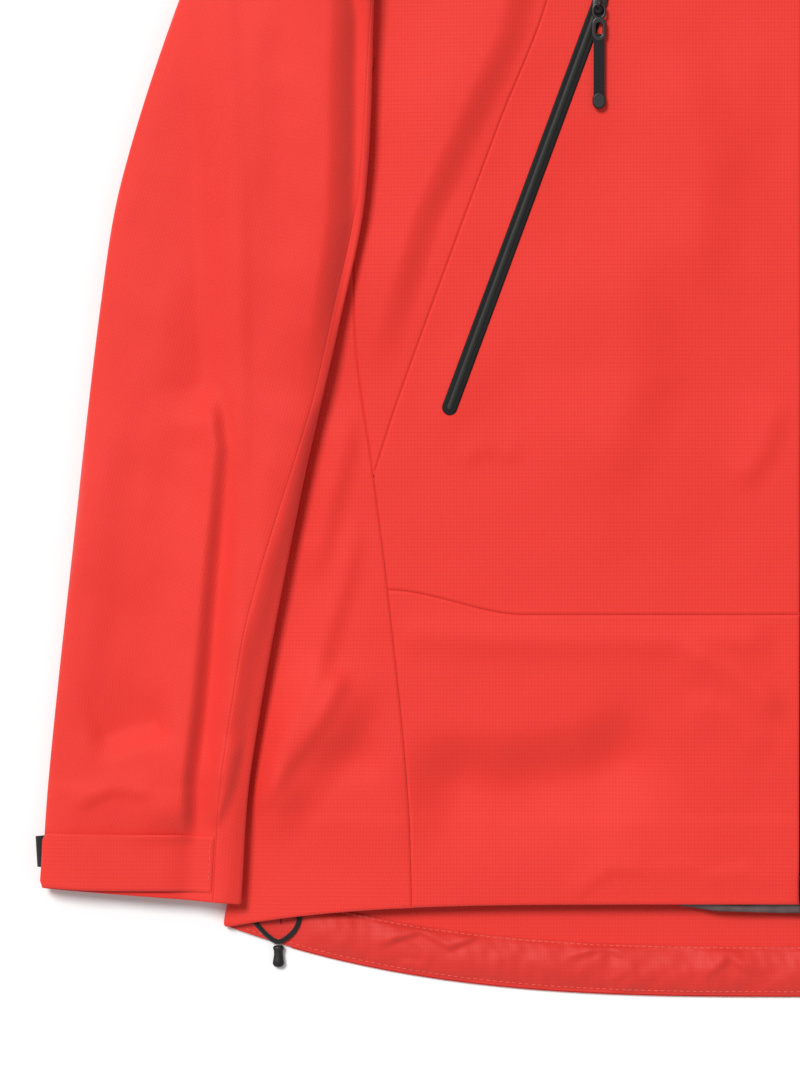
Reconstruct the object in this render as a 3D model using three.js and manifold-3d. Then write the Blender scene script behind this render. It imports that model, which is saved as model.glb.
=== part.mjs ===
// A hardshell jacket lying on its back, zipped up, with its sleeves laid down beside the body.
// Millimetres. X runs to the wearer's left, Y to the head, Z up out of the chest, and the floor is z = 0.
// Shapes are worked out for the wearer's right (X below 0) and mirrored for the left.
import * as THREE from "three";
import { mergeVertices } from "three/addons/utils/BufferGeometryUtils.js";
import Module from "manifold-3d";

const { clamp, lerp } = THREE.MathUtils;
const wasm = await Module();
wasm.setup();

// ---- Driving sizes: cloth ------------------------------------------------------------------------
const CLOTH = 1.2; // shell cloth, thicker than the real 0.4 mm laminate so that each panel is a sound solid
const FACING = 0.8; // facings, tapes, patches and pocket bags
const GAP = 0.35; // air between pieces that lie on each other
const SEAM_INSET = 0.45; // each panel stops this far short of a seam line

// ---- Driving sizes: body -------------------------------------------------------------------------
const HEM_HALF = 287; // half width at the hem
const FRONT_HEM_Y = -483.5;
const BACK_HEM_Y = -530; // the back hem drops below the front one
const CORNER_Y = -495; // where both hems meet at the side
const FRONT_HEM_CURVE = 5; // powers of the share of the half width: the hems turn near the corners
const BACK_HEM_CURVE = 3;
const HEM_CREST = 12; // height of the front at the hem, on the centre line
const CREST_SLOPE = 0.0257; // the front rises steadily from hem to collar along the zip
const CENTRE_HALF = 4; // half width of the zip left bare between the front panels

const BODY_HALF = 283; // half width of the body above the hem
const HEM_FLARE = { extra: 4, topY: -470 };
const WAIST = { pull: 8, bottomY: -480, length: 440 }; // the sides are drawn in by this much between the ends
const FOLD_RADIUS = [3, 5.5]; // of the side folds, at the hem and above
const FOLD_LENGTH = 450;
const FRONT_CURVE = 6; // power that keeps the front level until it nears the side folds

const SHOULDER = { x: -214, y: 160 };
const NECK = { x: -84, y: 222 };
const NECK_FRONT_Y = 200;
const NECK_BACK_Y = 226;
const NECK_CURVE = 2.5;
const SHOULDER_SLOPE = (NECK.y - SHOULDER.y) / (NECK.x - SHOULDER.x);
const SHOULDER_Z = 4;
const SHOULDER_FALL = 42; // the front comes down to the shoulder seam over this length
const SHOULDER_FROM = [68, 110]; // distances from the centre between which that fall begins
const ARMPIT = { x: -209, y: 5 };
const ARMHOLE_BULGE = 15;
const ARMHOLE_GAP = 1; // between the sleeve and the body

const SEAM_C_Y = -341; // level seam across the lower front
const SEAM_C_END = { rise: 12, from: 140, to: 206 }; // it lifts towards the side seam
const JOIN_Y = -273; // where the front seam runs into the side seam
const JOIN_CLEAR = 8; // the front side panel stops this far above the join, where it would be too narrow
const SIDE_SEAM_HEM_X = -194;
const SIDE_SEAM_C_X = -206;
const FRONT_SEAM_TOP_X = -122;
const YOKE_Y = 70;
const SIDE_TOP_Y = -62; // top of the side panel, under the sleeve
const SIDE_FLOOR = 30; // width of side panel that lies under the body
const BACK_CORNER_Y = -505; // the back panel's corners, where the back hem meets the side panel
const FLOOR_SHARE = 1 / 6; // share of a wrapped panel's grid that lies on the floor
const TOP_SHARE = 1 / 2; // and the share at which its upper layer begins

// ---- Driving sizes: hems -------------------------------------------------------------------------
const HEM_FACING = { topY: -441, centreX: -16, clear: 1 };
const TUNNEL = 25; // width of the tunnel in the back hem
const TUNNEL_EDGE = 0.6; // it begins this far from the hem's edge
const TUNNEL_HALF = 238;
const TUNNEL_RISE = 3.2;
const ELASTIC_R = 1.25;
const ELASTIC_SPARE = 4; // length of elastic that shows at each end of the tunnel
const HEM_LOOP = [
  [-273, -474, 3.6], [-272.5, -490, 3.6], [-268, -497, 3.2], [-263, -501.5, 3], [-260, -502.6, 2.8],
  [-257, -501.5, 3], [-252, -497, 3.2], [-249.5, -490, 3.6], [-249, -474, 3.6],
];
const HEM_PULL = { width: 6, bottom: -6, top: 4.6, thickness: 3.6, x: -260, y: -509, z: 0.5 };
const HEM_ANCHOR = { width: 11, length: 6, x: -264, y: -491 };

// ---- Driving sizes: sleeves ----------------------------------------------------------------------
const SLEEVE_THICKNESS = 18;
const CUFF_THICKNESS = 14;
const SLEEVE_ROUNDNESS = 0.7; // power of the flattened tube's section: 1 is an ellipse, less is boxier
const SLEEVE_REST = 24; // beyond the body's side the sleeve comes down to the floor over this width
const SLEEVE_LANDING = 0.11; // share of its length over which it climbs onto the body below the armhole
const SLEEVE_START = 0.004;
const CAP_SHARE = 0.2; // share of its length over which the curve of the armhole dies away
const OUTER_LEAD = 5; // the outer edge stops this much higher than the inner one at the cuff
const SLEEVE_SEAM = [0.035, 0.14]; // share of the width from the inner edge to the seam, armpit and cuff
const SEAM_SHIFT = [0.48, 0.75]; // the seam moves across between these shares of the length
const UNDER_SEAM = 0.75; // turn of the second seam, under the middle of the sleeve
const CUFF_FACING_Y = -429;
const CUFF_FACING_END = 0.997;
const CUFF_TOP_Y = -450;
const CUFF_END_Y = -483;
const CUFF_EASE = 1.2; // between the sleeve and its facing
const TAB = { root: 0.15, tip: 0.955, endMargin: 5, roundFrom: 0.86, roundOver: 0.16 };
const LOOP_PATCH = [[0.3, 1], [0.06, 1]]; // stretches of the tab's length and width that the patches take
const HOOK_PATCH = [[0.66, 0.95], [0.1, 0.9]];

// ---- Driving sizes: collar and hood --------------------------------------------------------------
const COLLAR_TOP_Y = 288;
const COLLAR_HALF = 96;
const COLLAR_BACK_HALF = 50;
const HOOD_BOTTOM_Y = 290;
const HOOD_TOP_Y = 530;
const HOOD_SIDE = [[-97, 304], [-117, 348], [-126, 400], [-112, 464], [-66, 512]];
const HOOD_ENDS = [0.004, 0.996]; // the hood stops just short of the collar seam at both ends
const HOOD_RADIUS = 12;
const HOOD_RIM = 34; // width of the hood's top layer round the face opening
const HOOD_FLOOR = 36; // width of a hood side panel on the floor
const HOOD_CENTRE_STEPS = 18;
const CROWN = [0.4, 0.6]; // stretch of the hood edge that belongs to the crown panel
const BRIM = { thickness: 2, stretch: [0.34, 0.66], inset: [16, 62] };
const HANGER_R = 1.4;
const HANGER_ROUTE = [
  [-27, 283, 3], [-26, 268, 3], [-18, 258, 3], [0, 255, 3], [18, 258, 3], [26, 268, 3], [27, 283, 3],
];

// ---- Driving sizes: zips and pockets -------------------------------------------------------------
const ZIP_BOTTOM_Y = -481;
const ZIP_TOP_Y = 284;
const TAPE_HALF = 14;
const COIL_HALF = 2.6;
const COIL_HEIGHT = 1.6;
const FLAP_HALF = 26;
const UPPER_SLIDER_Y = 276;
const LOWER_SLIDER_Y = -472;

const POCKET_TOP = { x: -98.5, y: -31 };
const POCKET_BOTTOM = { x: -177, y: -243 };
const POCKET_SLIDER_Y = -43;
const POCKET_STRIP = 7.4;
const STRIP_ROUND = 6; // one over the share of the strip's length in which each end is rounded
const STRIP_SINK = 0.2; // the strip lies this far below the cloth beside it
const SLOT_CUT = { bottom: -10, depth: 60 };
const POCKET_DEPTH = 7;
const POCKET_RIM = 0.15; // share of the bag's width and height in which it deepens
const BAG = { bottomY: -262, topY: -14, innerX: -32, margin: 10 };
const GARAGE = { size: 13, below: 3 };

const MAIN_WIDTH = 8;
const POCKET_WIDTH = 7.5;
const SLIDER_LENGTH = 9;
const SLIDER_PLATE = 1.2;
const SLIDER_RISE = 0.5; // clearance between the front and the slider
const PIVOT_RISE = 1.7; // height of the pull's pivot over the slider's plate
const PIVOT = SLIDER_RISE + SLIDER_PLATE + PIVOT_RISE;
const HOOP = { width: 1.4, wall: 1.3, floor: 0.3, footHalf: 2.4, footDepth: 0.4 };
const PULL_LENGTH = 51;
const SHORT_PULL_LENGTH = 24;
const PULL_THICKNESS = 1.8;
const RING_BAR = 1.2;
const RING = { width: 7, hole: 4.6, bottom: -8, holeBottom: -6.2 };
const EYE = { width: 7, bottom: -19, top: -5.2, hole: 2.8, holeBottom: -16.5, holeTop: -8 };
const WEBBING = { width: 5, top: -15, tipInset: 3 };
const TIP = { width: 6.8, length: 13 };

// ---- Small helpers -------------------------------------------------------------------------------
function smooth(a, b, x) {
  const t = clamp((x - a) / (b - a), 0, 1);
  return t * t * (3 - 2 * t);
}
const at = (x, y, z) => new THREE.Vector3(x, y, z);

// A smooth line through [x, y] points in rising order of y, read as x at a height y.
function seamLine(points) {
  const last = points.length - 1;
  const slope = points.map((_, i) => {
    const [xa, ya] = points[Math.max(i - 1, 0)];
    const [xb, yb] = points[Math.min(i + 1, last)];
    return (xb - xa) / (yb - ya);
  });
  return (height) => {
    const y = clamp(height, points[0][1], points[last][1]);
    const i = Math.max(0, points.findIndex((p) => p[1] >= y) - 1);
    const [xa, ya] = points[i];
    const [xb, yb] = points[i + 1];
    const h = yb - ya;
    const t = (y - ya) / h;
    const ease = t * t * (3 - 2 * t);
    return lerp(xa, xb, ease) + h * t * (1 - t) * ((1 - t) * slope[i] - t * slope[i + 1]);
  };
}

// ---- Lines of the jacket -------------------------------------------------------------------------
const sideSeam = seamLine([
  [SIDE_SEAM_HEM_X, -490], [-196, -430], [SIDE_SEAM_C_X, -329], [-213, JOIN_Y], [-222, -204],
  [-222, -120], [-211, -58], [ARMPIT.x, ARMPIT.y],
]);
const frontSeam = seamLine([
  [-213, JOIN_Y], [-200, -233], [-152, -102], [-128, -40], [-110, 50], [-108, 130],
  [FRONT_SEAM_TOP_X, 204],
]);
const sleeveOuter = seamLine([
  [-377, CUFF_END_Y], [-373, -422], [-361, -309], [-347, -187], [-337, -128], [-309, -40], [-276, 38],
  [-250, 100], [SHOULDER.x, SHOULDER.y],
]);
const sleeveInner = seamLine([
  [-278, CUFF_END_Y], [-273, -417], [-249, -285], [-230, -201], [-217, -138], [-212, -40],
  [ARMPIT.x, ARMPIT.y],
]);
const hemY = (middle, curve) => (x) => middle + (CORNER_Y - middle) * Math.abs(x / HEM_HALF) ** curve;
const backHemY = hemY(BACK_HEM_Y, BACK_HEM_CURVE);
const frontHemY = hemY(FRONT_HEM_Y, FRONT_HEM_CURVE);
const seamCY = (x) => SEAM_C_Y + SEAM_C_END.rise * smooth(SEAM_C_END.from, SEAM_C_END.to, Math.abs(x));
const shoulderY = (x) => NECK.y + (-Math.abs(x) - NECK.x) * SHOULDER_SLOPE;

// Top edge of the front: the neckline, then the shoulder.
function frontTopY(x) {
  const across = Math.abs(x / NECK.x);
  return across < 1 ? lerp(NECK_FRONT_Y, NECK.y, across ** NECK_CURVE) : shoulderY(x);
}

function armhole(y) {
  const t = clamp((y - ARMPIT.y) / (SHOULDER.y - ARMPIT.y), 0, 1);
  return lerp(ARMPIT.x, SHOULDER.x, t) + ARMHOLE_BULGE * 4 * t * (1 - t);
}

// ---- Heights -------------------------------------------------------------------------------------
function sideHalf(y) {
  const waist = WAIST.pull * Math.sin(Math.PI * clamp((y - WAIST.bottomY) / WAIST.length, 0, 1));
  return BODY_HALF - waist + HEM_FLARE.extra * smooth(HEM_FLARE.topY, CORNER_Y, y);
}
const foldRadius = (y) => lerp(...FOLD_RADIUS, clamp((y - CORNER_Y) / FOLD_LENGTH, 0, 1));
const crest = (y) => HEM_CREST + (y - FRONT_HEM_Y) * CREST_SLOPE;

// Outer face of the front: level across the middle, down to the side folds and to the shoulders.
function frontZ(x, y) {
  const low = 2 * foldRadius(y);
  const across = Math.min(1, Math.abs(x) / (sideHalf(y) - foldRadius(y)));
  const body = low + (crest(y) - low) * (1 - across ** FRONT_CURVE);
  const reach = clamp((frontTopY(x) - y) / SHOULDER_FALL, 0, 1);
  const shoulder = SHOULDER_Z + (body - SHOULDER_Z) * Math.sin((reach * Math.PI) / 2);
  return lerp(body, shoulder, smooth(...SHOULDER_FROM, Math.abs(x)));
}

// What a sleeve lies on: the body's side, then the floor outside it.
function groundZ(x, y) {
  const half = sideHalf(y);
  return GAP + (frontZ(x, y) + GAP) * (1 - smooth(half, half + SLEEVE_REST, Math.abs(x)));
}

// ---- Sheets of cloth -----------------------------------------------------------------------------
function normalAt(surface, u, v) {
  const step = 1e-3;
  const [ua, ub] = [Math.max(u - step, 0), Math.min(u + step, 1)];
  const [va, vb] = [Math.max(v - step, 0), Math.min(v + step, 1)];
  const along = surface(ub, v).sub(surface(ua, v));
  return along.cross(surface(u, vb).sub(surface(u, va))).normalize();
}

const lifted = (surface, height) => (u, v) =>
  surface(u, v).addScaledVector(normalAt(surface, u, v), height);

const part = (surface, [ua, ub], [va, vb]) => (u, v) => surface(lerp(ua, ub, u), lerp(va, vb, v));

// The same surface, short of its four edges by the seam inset.
function shy(surface) {
  const du = SEAM_INSET / surface(0, 0.5).distanceTo(surface(1, 0.5));
  const dv = SEAM_INSET / surface(0.5, 0).distanceTo(surface(0.5, 1));
  return part(surface, [du, 1 - du], [dv, 1 - dv]);
}

// A closed solid: surface(u, v) is the outer face, with u to v turning left seen from outside, and the
// inner face lies a thickness behind it. A round one joins up with itself in u.
function sheet(surface, [nu, nv], thickness = CLOTH, round = false) {
  const columns = round ? nu : nu + 1;
  const layer = columns * (nv + 1);
  const positions = [];
  for (const face of [surface, lifted(surface, -thickness)])
    for (let j = 0; j <= nv; j++)
      for (let i = 0; i < columns; i++) positions.push(...face(i / nu, j / nv));
  const outer = (i, j) => j * columns + (i % columns);
  const inner = (i, j) => layer + outer(i, j);
  const index = [];
  const quad = (a, b, c, d) => index.push(a, b, c, a, c, d);
  for (let j = 0; j < nv; j++)
    for (let i = 0; i < nu; i++) {
      quad(outer(i, j), outer(i + 1, j), outer(i + 1, j + 1), outer(i, j + 1));
      quad(inner(i, j + 1), inner(i + 1, j + 1), inner(i + 1, j), inner(i, j));
    }
  for (let i = 0; i < nu; i++) {
    quad(inner(i, 0), inner(i + 1, 0), outer(i + 1, 0), outer(i, 0));
    quad(outer(i, nv), outer(i + 1, nv), inner(i + 1, nv), inner(i, nv));
  }
  for (let j = 0; j < nv && !round; j++) {
    quad(outer(0, j), outer(0, j + 1), inner(0, j + 1), inner(0, j));
    quad(outer(nu, j + 1), outer(nu, j), inner(nu, j), inner(nu, j + 1));
  }
  const geometry = new THREE.BufferGeometry().setIndex(index);
  return geometry.setAttribute("position", new THREE.Float32BufferAttribute(positions, 3));
}

// ---- Solids joined and cut -----------------------------------------------------------------------
function solid(geometry) {
  const bare = new THREE.BufferGeometry().setIndex(geometry.index);
  bare.setAttribute("position", geometry.getAttribute("position"));
  const merged = mergeVertices(bare, 1e-4);
  const vertProperties = merged.getAttribute("position").array;
  return new wasm.Manifold(
    new wasm.Mesh({ numProp: 3, vertProperties, triVerts: new Uint32Array(merged.index.array) }),
  );
}

function geometryOf(manifold) {
  const mesh = manifold.getMesh();
  const geometry = new THREE.BufferGeometry().setIndex([...mesh.triVerts]);
  return geometry.setAttribute("position", new THREE.Float32BufferAttribute(mesh.vertProperties, 3));
}

const cut = (geometry, tool) => geometryOf(solid(geometry).subtract(solid(tool)));
const join = (a, b) => geometryOf(solid(a).add(solid(b)));

// ---- Shapes drawn flat ---------------------------------------------------------------------------
// A slot or tab outline with round ends, centred on x = 0 from y = bottom to y = top.
function roundEnded(width, bottom, top, Kind = THREE.Shape) {
  const r = width / 2;
  const outline = new Kind();
  outline.absarc(0, top - r, r, 0, Math.PI, false);
  outline.absarc(0, bottom + r, r, Math.PI, 2 * Math.PI, false);
  return outline.closePath();
}

function plate(outline, thickness, curveSegments = 4) {
  return new THREE.ExtrudeGeometry(outline, { depth: thickness, bevelEnabled: false, curveSegments });
}

function tube(points, radius, steps) {
  const section = new THREE.Shape().absarc(0, 0, radius, 0, 2 * Math.PI, false);
  const extrudePath = new THREE.CatmullRomCurve3(points.map((p) => at(...p)));
  return new THREE.ExtrudeGeometry(section, { steps, extrudePath, curveSegments: 4 });
}

// ---- Materials and the tree ----------------------------------------------------------------------
const shellCloth = () => new THREE.MeshStandardMaterial({ color: 0xe8433a, roughness: 0.72, metalness: 0 });
const shadeCloth = () => new THREE.MeshStandardMaterial({ color: 0xd93c34, roughness: 0.65, metalness: 0 });
const blackTrim = () => new THREE.MeshStandardMaterial({ color: 0x241c1b, roughness: 0.5, metalness: 0 });
const greyTape = () => new THREE.MeshStandardMaterial({ color: 0x6a5f5f, roughness: 0.35, metalness: 0 });

const jacket = new THREE.Group();
function add(name, geometry, material) {
  const mesh = new THREE.Mesh(geometry, material);
  mesh.name = name;
  jacket.add(mesh);
  return mesh;
}

const mirrored = (surface) => (u, v) => {
  const p = surface(1 - u, v);
  return p.setX(-p.x);
};
const SIDES = [
  { side: "right", sign: 1, hand: (surface) => surface },
  { side: "left", sign: -1, hand: mirrored },
];

// ---- Front, sides and back -----------------------------------------------------------------------
// A piece of the front between two lines x(y), from one edge to another. Each edge is [y(x), xa, xb].
function frontPiece(lineA, lineB, [bottom, bottomA, bottomB], [top, topA, topB]) {
  return (u, v) => {
    const y = lerp(bottom(lerp(bottomA, bottomB, u)), top(lerp(topA, topB, u)), v);
    const x = lerp(lineA(y), lineB(y), u);
    return at(x, y, frontZ(x, y));
  };
}

const centreEdge = () => -CENTRE_HALF;
const frontUpper = frontPiece(
  (y) => (y < JOIN_Y ? sideSeam(y) : frontSeam(y)),
  centreEdge,
  [seamCY, SIDE_SEAM_C_X, -CENTRE_HALF],
  [frontTopY, FRONT_SEAM_TOP_X, -CENTRE_HALF],
);
const frontLower = frontPiece(
  sideSeam,
  centreEdge,
  [frontHemY, SIDE_SEAM_HEM_X, -CENTRE_HALF],
  [seamCY, SIDE_SEAM_C_X, -CENTRE_HALF],
);
const frontSide = frontPiece(
  (y) => (y < ARMPIT.y ? sideSeam(y) : armhole(y)),
  frontSeam,
  [() => JOIN_Y + JOIN_CLEAR, 0, 0],
  [shoulderY, SHOULDER.x, FRONT_SEAM_TOP_X],
);

// A section [x, z] that lies on the floor from floorX out to a fold and comes back over it to topX. c is
// the half width at the fold's centre and r its radius.
function wrapped(u, floorX, topX, c, r) {
  if (u < FLOOR_SHARE) return [lerp(floorX, -c, u / FLOOR_SHARE), 0];
  if (u > TOP_SHARE) return [lerp(-c, topX, (u - TOP_SHARE) / (1 - TOP_SHARE)), 2 * r];
  const turn = ((u - FLOOR_SHARE) / (TOP_SHARE - FLOOR_SHARE)) * Math.PI;
  return [-(c + r * Math.sin(turn)), r - r * Math.cos(turn)];
}

// The side panel, from the back seam on the floor, round the side fold, to the side seam on top.
function sidePanel(u, v) {
  const place = (y) => {
    const r = foldRadius(y);
    const c = sideHalf(y) - r;
    const [x, z] = wrapped(u, -(c - SIDE_FLOOR), sideSeam(y), c, r);
    return [x, u > TOP_SHARE ? frontZ(x, y) : z];
  };
  const edgeY = u < (FLOOR_SHARE + TOP_SHARE) / 2 ? backHemY : frontHemY;
  const y = lerp(edgeY(place(CORNER_Y)[0]), SIDE_TOP_Y, v);
  const [x, z] = place(y);
  return at(x, y, z);
}

function backHalf(y) {
  if (y > ARMPIT.y) return -armhole(y);
  const half = sideHalf(y) - foldRadius(y) - SIDE_FLOOR;
  return lerp(half, -ARMPIT.x, smooth(SIDE_TOP_Y, ARMPIT.y, y));
}

// A piece of the back, flat on the floor, between two edges y(x).
function backPiece(bottom, top) {
  return (u, v) => {
    const spread = lerp(1, -1, u);
    const y = lerp(bottom(spread), top(spread), v);
    return at(spread * backHalf(y), y, 0);
  };
}
const backHemHalf = backHalf(BACK_CORNER_Y);
const backPanel = backPiece((s) => backHemY(s * backHemHalf), () => YOKE_Y);
const backYoke = backPiece(
  () => YOKE_Y,
  (s) => (Math.abs(s * SHOULDER.x) < -NECK.x ? NECK_BACK_Y : shoulderY(s * SHOULDER.x)),
);

const zipAngle = Math.atan2(POCKET_TOP.x - POCKET_BOTTOM.x, POCKET_TOP.y - POCKET_BOTTOM.y);
const zipX = (y) => POCKET_BOTTOM.x + (y - POCKET_BOTTOM.y) * Math.tan(zipAngle);

// The slot that the pocket zip fills.
function pocketSlot(sign) {
  const length = (POCKET_TOP.y - POCKET_BOTTOM.y) / Math.cos(zipAngle);
  const slot = plate(roundEnded(POCKET_STRIP + 2 * GAP, -GAP, length + GAP), SLOT_CUT.depth);
  return slot.rotateZ(-sign * zipAngle).translate(sign * POCKET_BOTTOM.x, POCKET_BOTTOM.y, SLOT_CUT.bottom);
}

for (const { side, sign, hand } of SIDES) {
  const upper = sheet(hand(shy(frontUpper)), [10, 12]);
  add(`front_upper_panel_${side}`, cut(upper, pocketSlot(sign)), shellCloth());
  add(`front_lower_panel_${side}`, sheet(hand(shy(frontLower)), [10, 4]), shellCloth());
  add(`front_side_panel_${side}`, sheet(hand(shy(frontSide)), [4, 12]), shellCloth());
  add(`side_panel_${side}`, sheet(hand(shy(sidePanel)), [12, 8]), shellCloth());
}
add("back_panel", sheet(shy(backPanel), [12, 12]), shellCloth());
add("back_yoke", sheet(shy(backYoke), [12, 4]), shellCloth());

// ---- Hems ----------------------------------------------------------------------------------------
const frontFacing = frontPiece(
  (y) => sideSeam(y) + HEM_FACING.clear,
  () => HEM_FACING.centreX,
  [(x) => frontHemY(x) + HEM_FACING.clear, SIDE_SEAM_HEM_X, HEM_FACING.centreX],
  [() => HEM_FACING.topY, 0, 0],
);
function backFacing(u, v) {
  const x = lerp(-TUNNEL_HALF, TUNNEL_HALF, u);
  const y = backHemY(x) + lerp(TUNNEL_EDGE, TUNNEL, v);
  return at(x, y, CLOTH + GAP + FACING + TUNNEL_RISE * Math.sin(Math.PI * v));
}
function elastic() {
  const places = [-1, -0.75, -0.5, -0.25, 0, 0.25, 0.5, 0.75, 1];
  const route = places.map((s) => {
    const x = s * (TUNNEL_HALF + ELASTIC_SPARE);
    return [x, backHemY(x) + TUNNEL / 2, CLOTH + GAP + ELASTIC_R];
  });
  return tube(route, ELASTIC_R, 24);
}

add("back_hem_facing", sheet(backFacing, [16, 6], FACING), shadeCloth());
add("hem_elastic", elastic(), blackTrim());
for (const { side, sign, hand } of SIDES) {
  const facing = lifted(frontFacing, -(CLOTH + GAP));
  add(`front_hem_facing_${side}`, sheet(hand(facing), [8, 2], FACING), shadeCloth());
  add(`hem_loop_${side}`, tube(HEM_LOOP.map(([x, y, z]) => [sign * x, y, z]), ELASTIC_R, 20), blackTrim());
  const pull = plate(roundEnded(HEM_PULL.width, HEM_PULL.bottom, HEM_PULL.top), HEM_PULL.thickness, 6);
  pull.translate(sign * HEM_PULL.x, HEM_PULL.y, HEM_PULL.z);
  add(`hem_pull_${side}`, pull, blackTrim());
  const anchor = new THREE.BoxGeometry(HEM_ANCHOR.width, HEM_ANCHOR.length, FACING);
  anchor.translate(sign * HEM_ANCHOR.x, HEM_ANCHOR.y, CLOTH + GAP + FACING / 2);
  add(`hem_anchor_${side}`, anchor, blackTrim());
}

// ---- Sleeves -------------------------------------------------------------------------------------
// The sleeve as a flattened tube: turn 0 is its inner edge, 0.5 its outer edge, and v runs to the cuff.
function sleeve(turn, v) {
  const innerY = lerp(ARMPIT.y, CUFF_END_Y, v);
  const outerY = innerY + (SHOULDER.y - ARMPIT.y) * (1 - v) ** 3 + OUTER_LEAD * v;
  const across = (1 - Math.cos(2 * Math.PI * turn)) / 2;
  const capFade = 1 - smooth(0, CAP_SHARE, v);
  const cap = (ARMHOLE_BULGE * 4 * across * (1 - across) - ARMHOLE_GAP) * capFade;
  const x = lerp(sleeveInner(innerY), sleeveOuter(outerY), across) + cap;
  const y = lerp(innerY, outerY, across);
  const height = Math.sin(2 * Math.PI * turn);
  const round = Math.sign(height) * Math.abs(height) ** SLEEVE_ROUNDNESS;
  const thick = lerp(SLEEVE_THICKNESS, CUFF_THICKNESS, smooth(0.5, 1, v));
  const rest = lerp(GAP, groundZ(x, y), smooth(0, SLEEVE_LANDING, v));
  return at(x, y, rest + (thick / 2) * (1 + round));
}
const sleeveV = (v) => lerp(SLEEVE_START, 1, v);
const sleeveUpper = (u, v) => sleeve(lerp(seamTurn(sleeveV(v)), UNDER_SEAM, u), sleeveV(v));
const sleeveUnder = (u, v) => sleeve(lerp(UNDER_SEAM, 1 + seamTurn(sleeveV(v)), u), sleeveV(v));
const turnAt = (across) => Math.acos(1 - 2 * across) / (2 * Math.PI);
const seamTurn = (v) => turnAt(lerp(...SLEEVE_SEAM, smooth(...SEAM_SHIFT, v)));
const vAt = (y) => (y - ARMPIT.y) / (CUFF_END_Y - ARMPIT.y);

function cuffFacing(u, v) {
  return sleeve(u, lerp(vAt(CUFF_FACING_Y), CUFF_FACING_END, v));
}

// The cuff tab lies on the top of the sleeve, its free end rounded at the sleeve's outer edge.
function tab(u, v) {
  const narrow = Math.sqrt(1 - clamp((u - TAB.roundFrom) / TAB.roundOver, 0, 1) ** 2);
  const spread = (v - 0.5) * narrow + 0.5;
  const down = lerp(vAt(CUFF_TOP_Y), vAt(CUFF_END_Y + TAB.endMargin), spread);
  return sleeve(turnAt(lerp(TAB.root, TAB.tip, u)), down);
}

for (const { side, hand } of SIDES) {
  add(`sleeve_upper_${side}`, sheet(hand(shy(sleeveUpper)), [14, 14]), shellCloth());
  add(`sleeve_under_${side}`, sheet(hand(shy(sleeveUnder)), [6, 14]), shellCloth());
  const facing = hand(lifted(cuffFacing, -(CLOTH + CUFF_EASE)));
  add(`cuff_facing_${side}`, sheet(facing, [16, 2], FACING, true), shadeCloth());
  const loopPatch = lifted(part(tab, ...LOOP_PATCH), 2 * GAP + FACING);
  add(`cuff_loop_patch_${side}`, sheet(hand(loopPatch), [8, 2], FACING), blackTrim());
  const hookPatch = lifted(part(tab, ...HOOK_PATCH), 3 * GAP + 2 * FACING);
  add(`cuff_hook_patch_${side}`, sheet(hand(hookPatch), [4, 2], FACING), blackTrim());
  const tabFace = lifted(tab, 4 * GAP + 2 * FACING + CLOTH);
  add(`cuff_tab_${side}`, sheet(hand(tabFace), [10, 4]), shellCloth());
}

// ---- Collar and hood -----------------------------------------------------------------------------
// The collar front, from the back seam on the floor, round the fold, to the zip.
function collarFront(u, v) {
  const place = (y) => {
    const r = crest(y) / 2;
    return wrapped(u, -COLLAR_BACK_HALF, -CENTRE_HALF, COLLAR_HALF - r, r);
  };
  const turned = clamp((u - FLOOR_SHARE) / (TOP_SHARE - FLOOR_SHARE), 0, 1);
  const under = u > TOP_SHARE ? frontTopY(place(NECK.y)[0]) : lerp(NECK_BACK_Y, NECK.y, turned);
  const y = lerp(under, COLLAR_TOP_Y, v);
  const [x, z] = place(y);
  return at(x, y, z);
}
const collarBack = (u, v) =>
  at(lerp(COLLAR_BACK_HALF, -COLLAR_BACK_HALF, u), lerp(NECK_BACK_Y, COLLAR_TOP_Y, v), 0);

const hoodHalf = [[-COLLAR_HALF, HOOD_BOTTOM_Y], ...HOOD_SIDE];
const hoodOtherHalf = hoodHalf.map(([x, y]) => [-x, y]).reverse();
const hoodEdge = new THREE.CatmullRomCurve3(
  [...hoodHalf, [0, HOOD_TOP_Y], ...hoodOtherHalf].map(([x, y]) => at(x, y, 0)),
);
const hoodRadius = (along) => lerp(crest(COLLAR_TOP_Y) / 2, HOOD_RADIUS, Math.sin(Math.PI * along));

// A point of the hood: along is 0 at the right end of its edge and 1 at the left, and inset is measured
// from the edge inwards.
function hoodPoint(along, inset, z) {
  const p = hoodEdge.getPoint(along);
  const t = hoodEdge.getTangent(along);
  return at(p.x + t.y * inset, p.y - t.x * inset, z);
}

// The hood's wall: from the floor seam out to the edge, round the fold and back over to the face opening.
const RIM_SHARE = 2 / 3; // share of the wall's grid at which its upper layer begins
function hoodWall(u, v) {
  const r = hoodRadius(v);
  if (u < FLOOR_SHARE) return hoodPoint(v, lerp(HOOD_FLOOR, r, u / FLOOR_SHARE), 0);
  if (u > RIM_SHARE) return hoodPoint(v, lerp(r, HOOD_RIM, (u - RIM_SHARE) / (1 - RIM_SHARE)), 2 * r);
  const turn = ((u - FLOOR_SHARE) / (RIM_SHARE - FLOOR_SHARE)) * Math.PI;
  return hoodPoint(v, r - r * Math.sin(turn), r - r * Math.cos(turn));
}
function brim(u, v) {
  const along = lerp(...BRIM.stretch, v);
  return hoodPoint(along, lerp(...BRIM.inset, u), 2 * hoodRadius(along) + BRIM.thickness + 2 * GAP);
}

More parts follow.
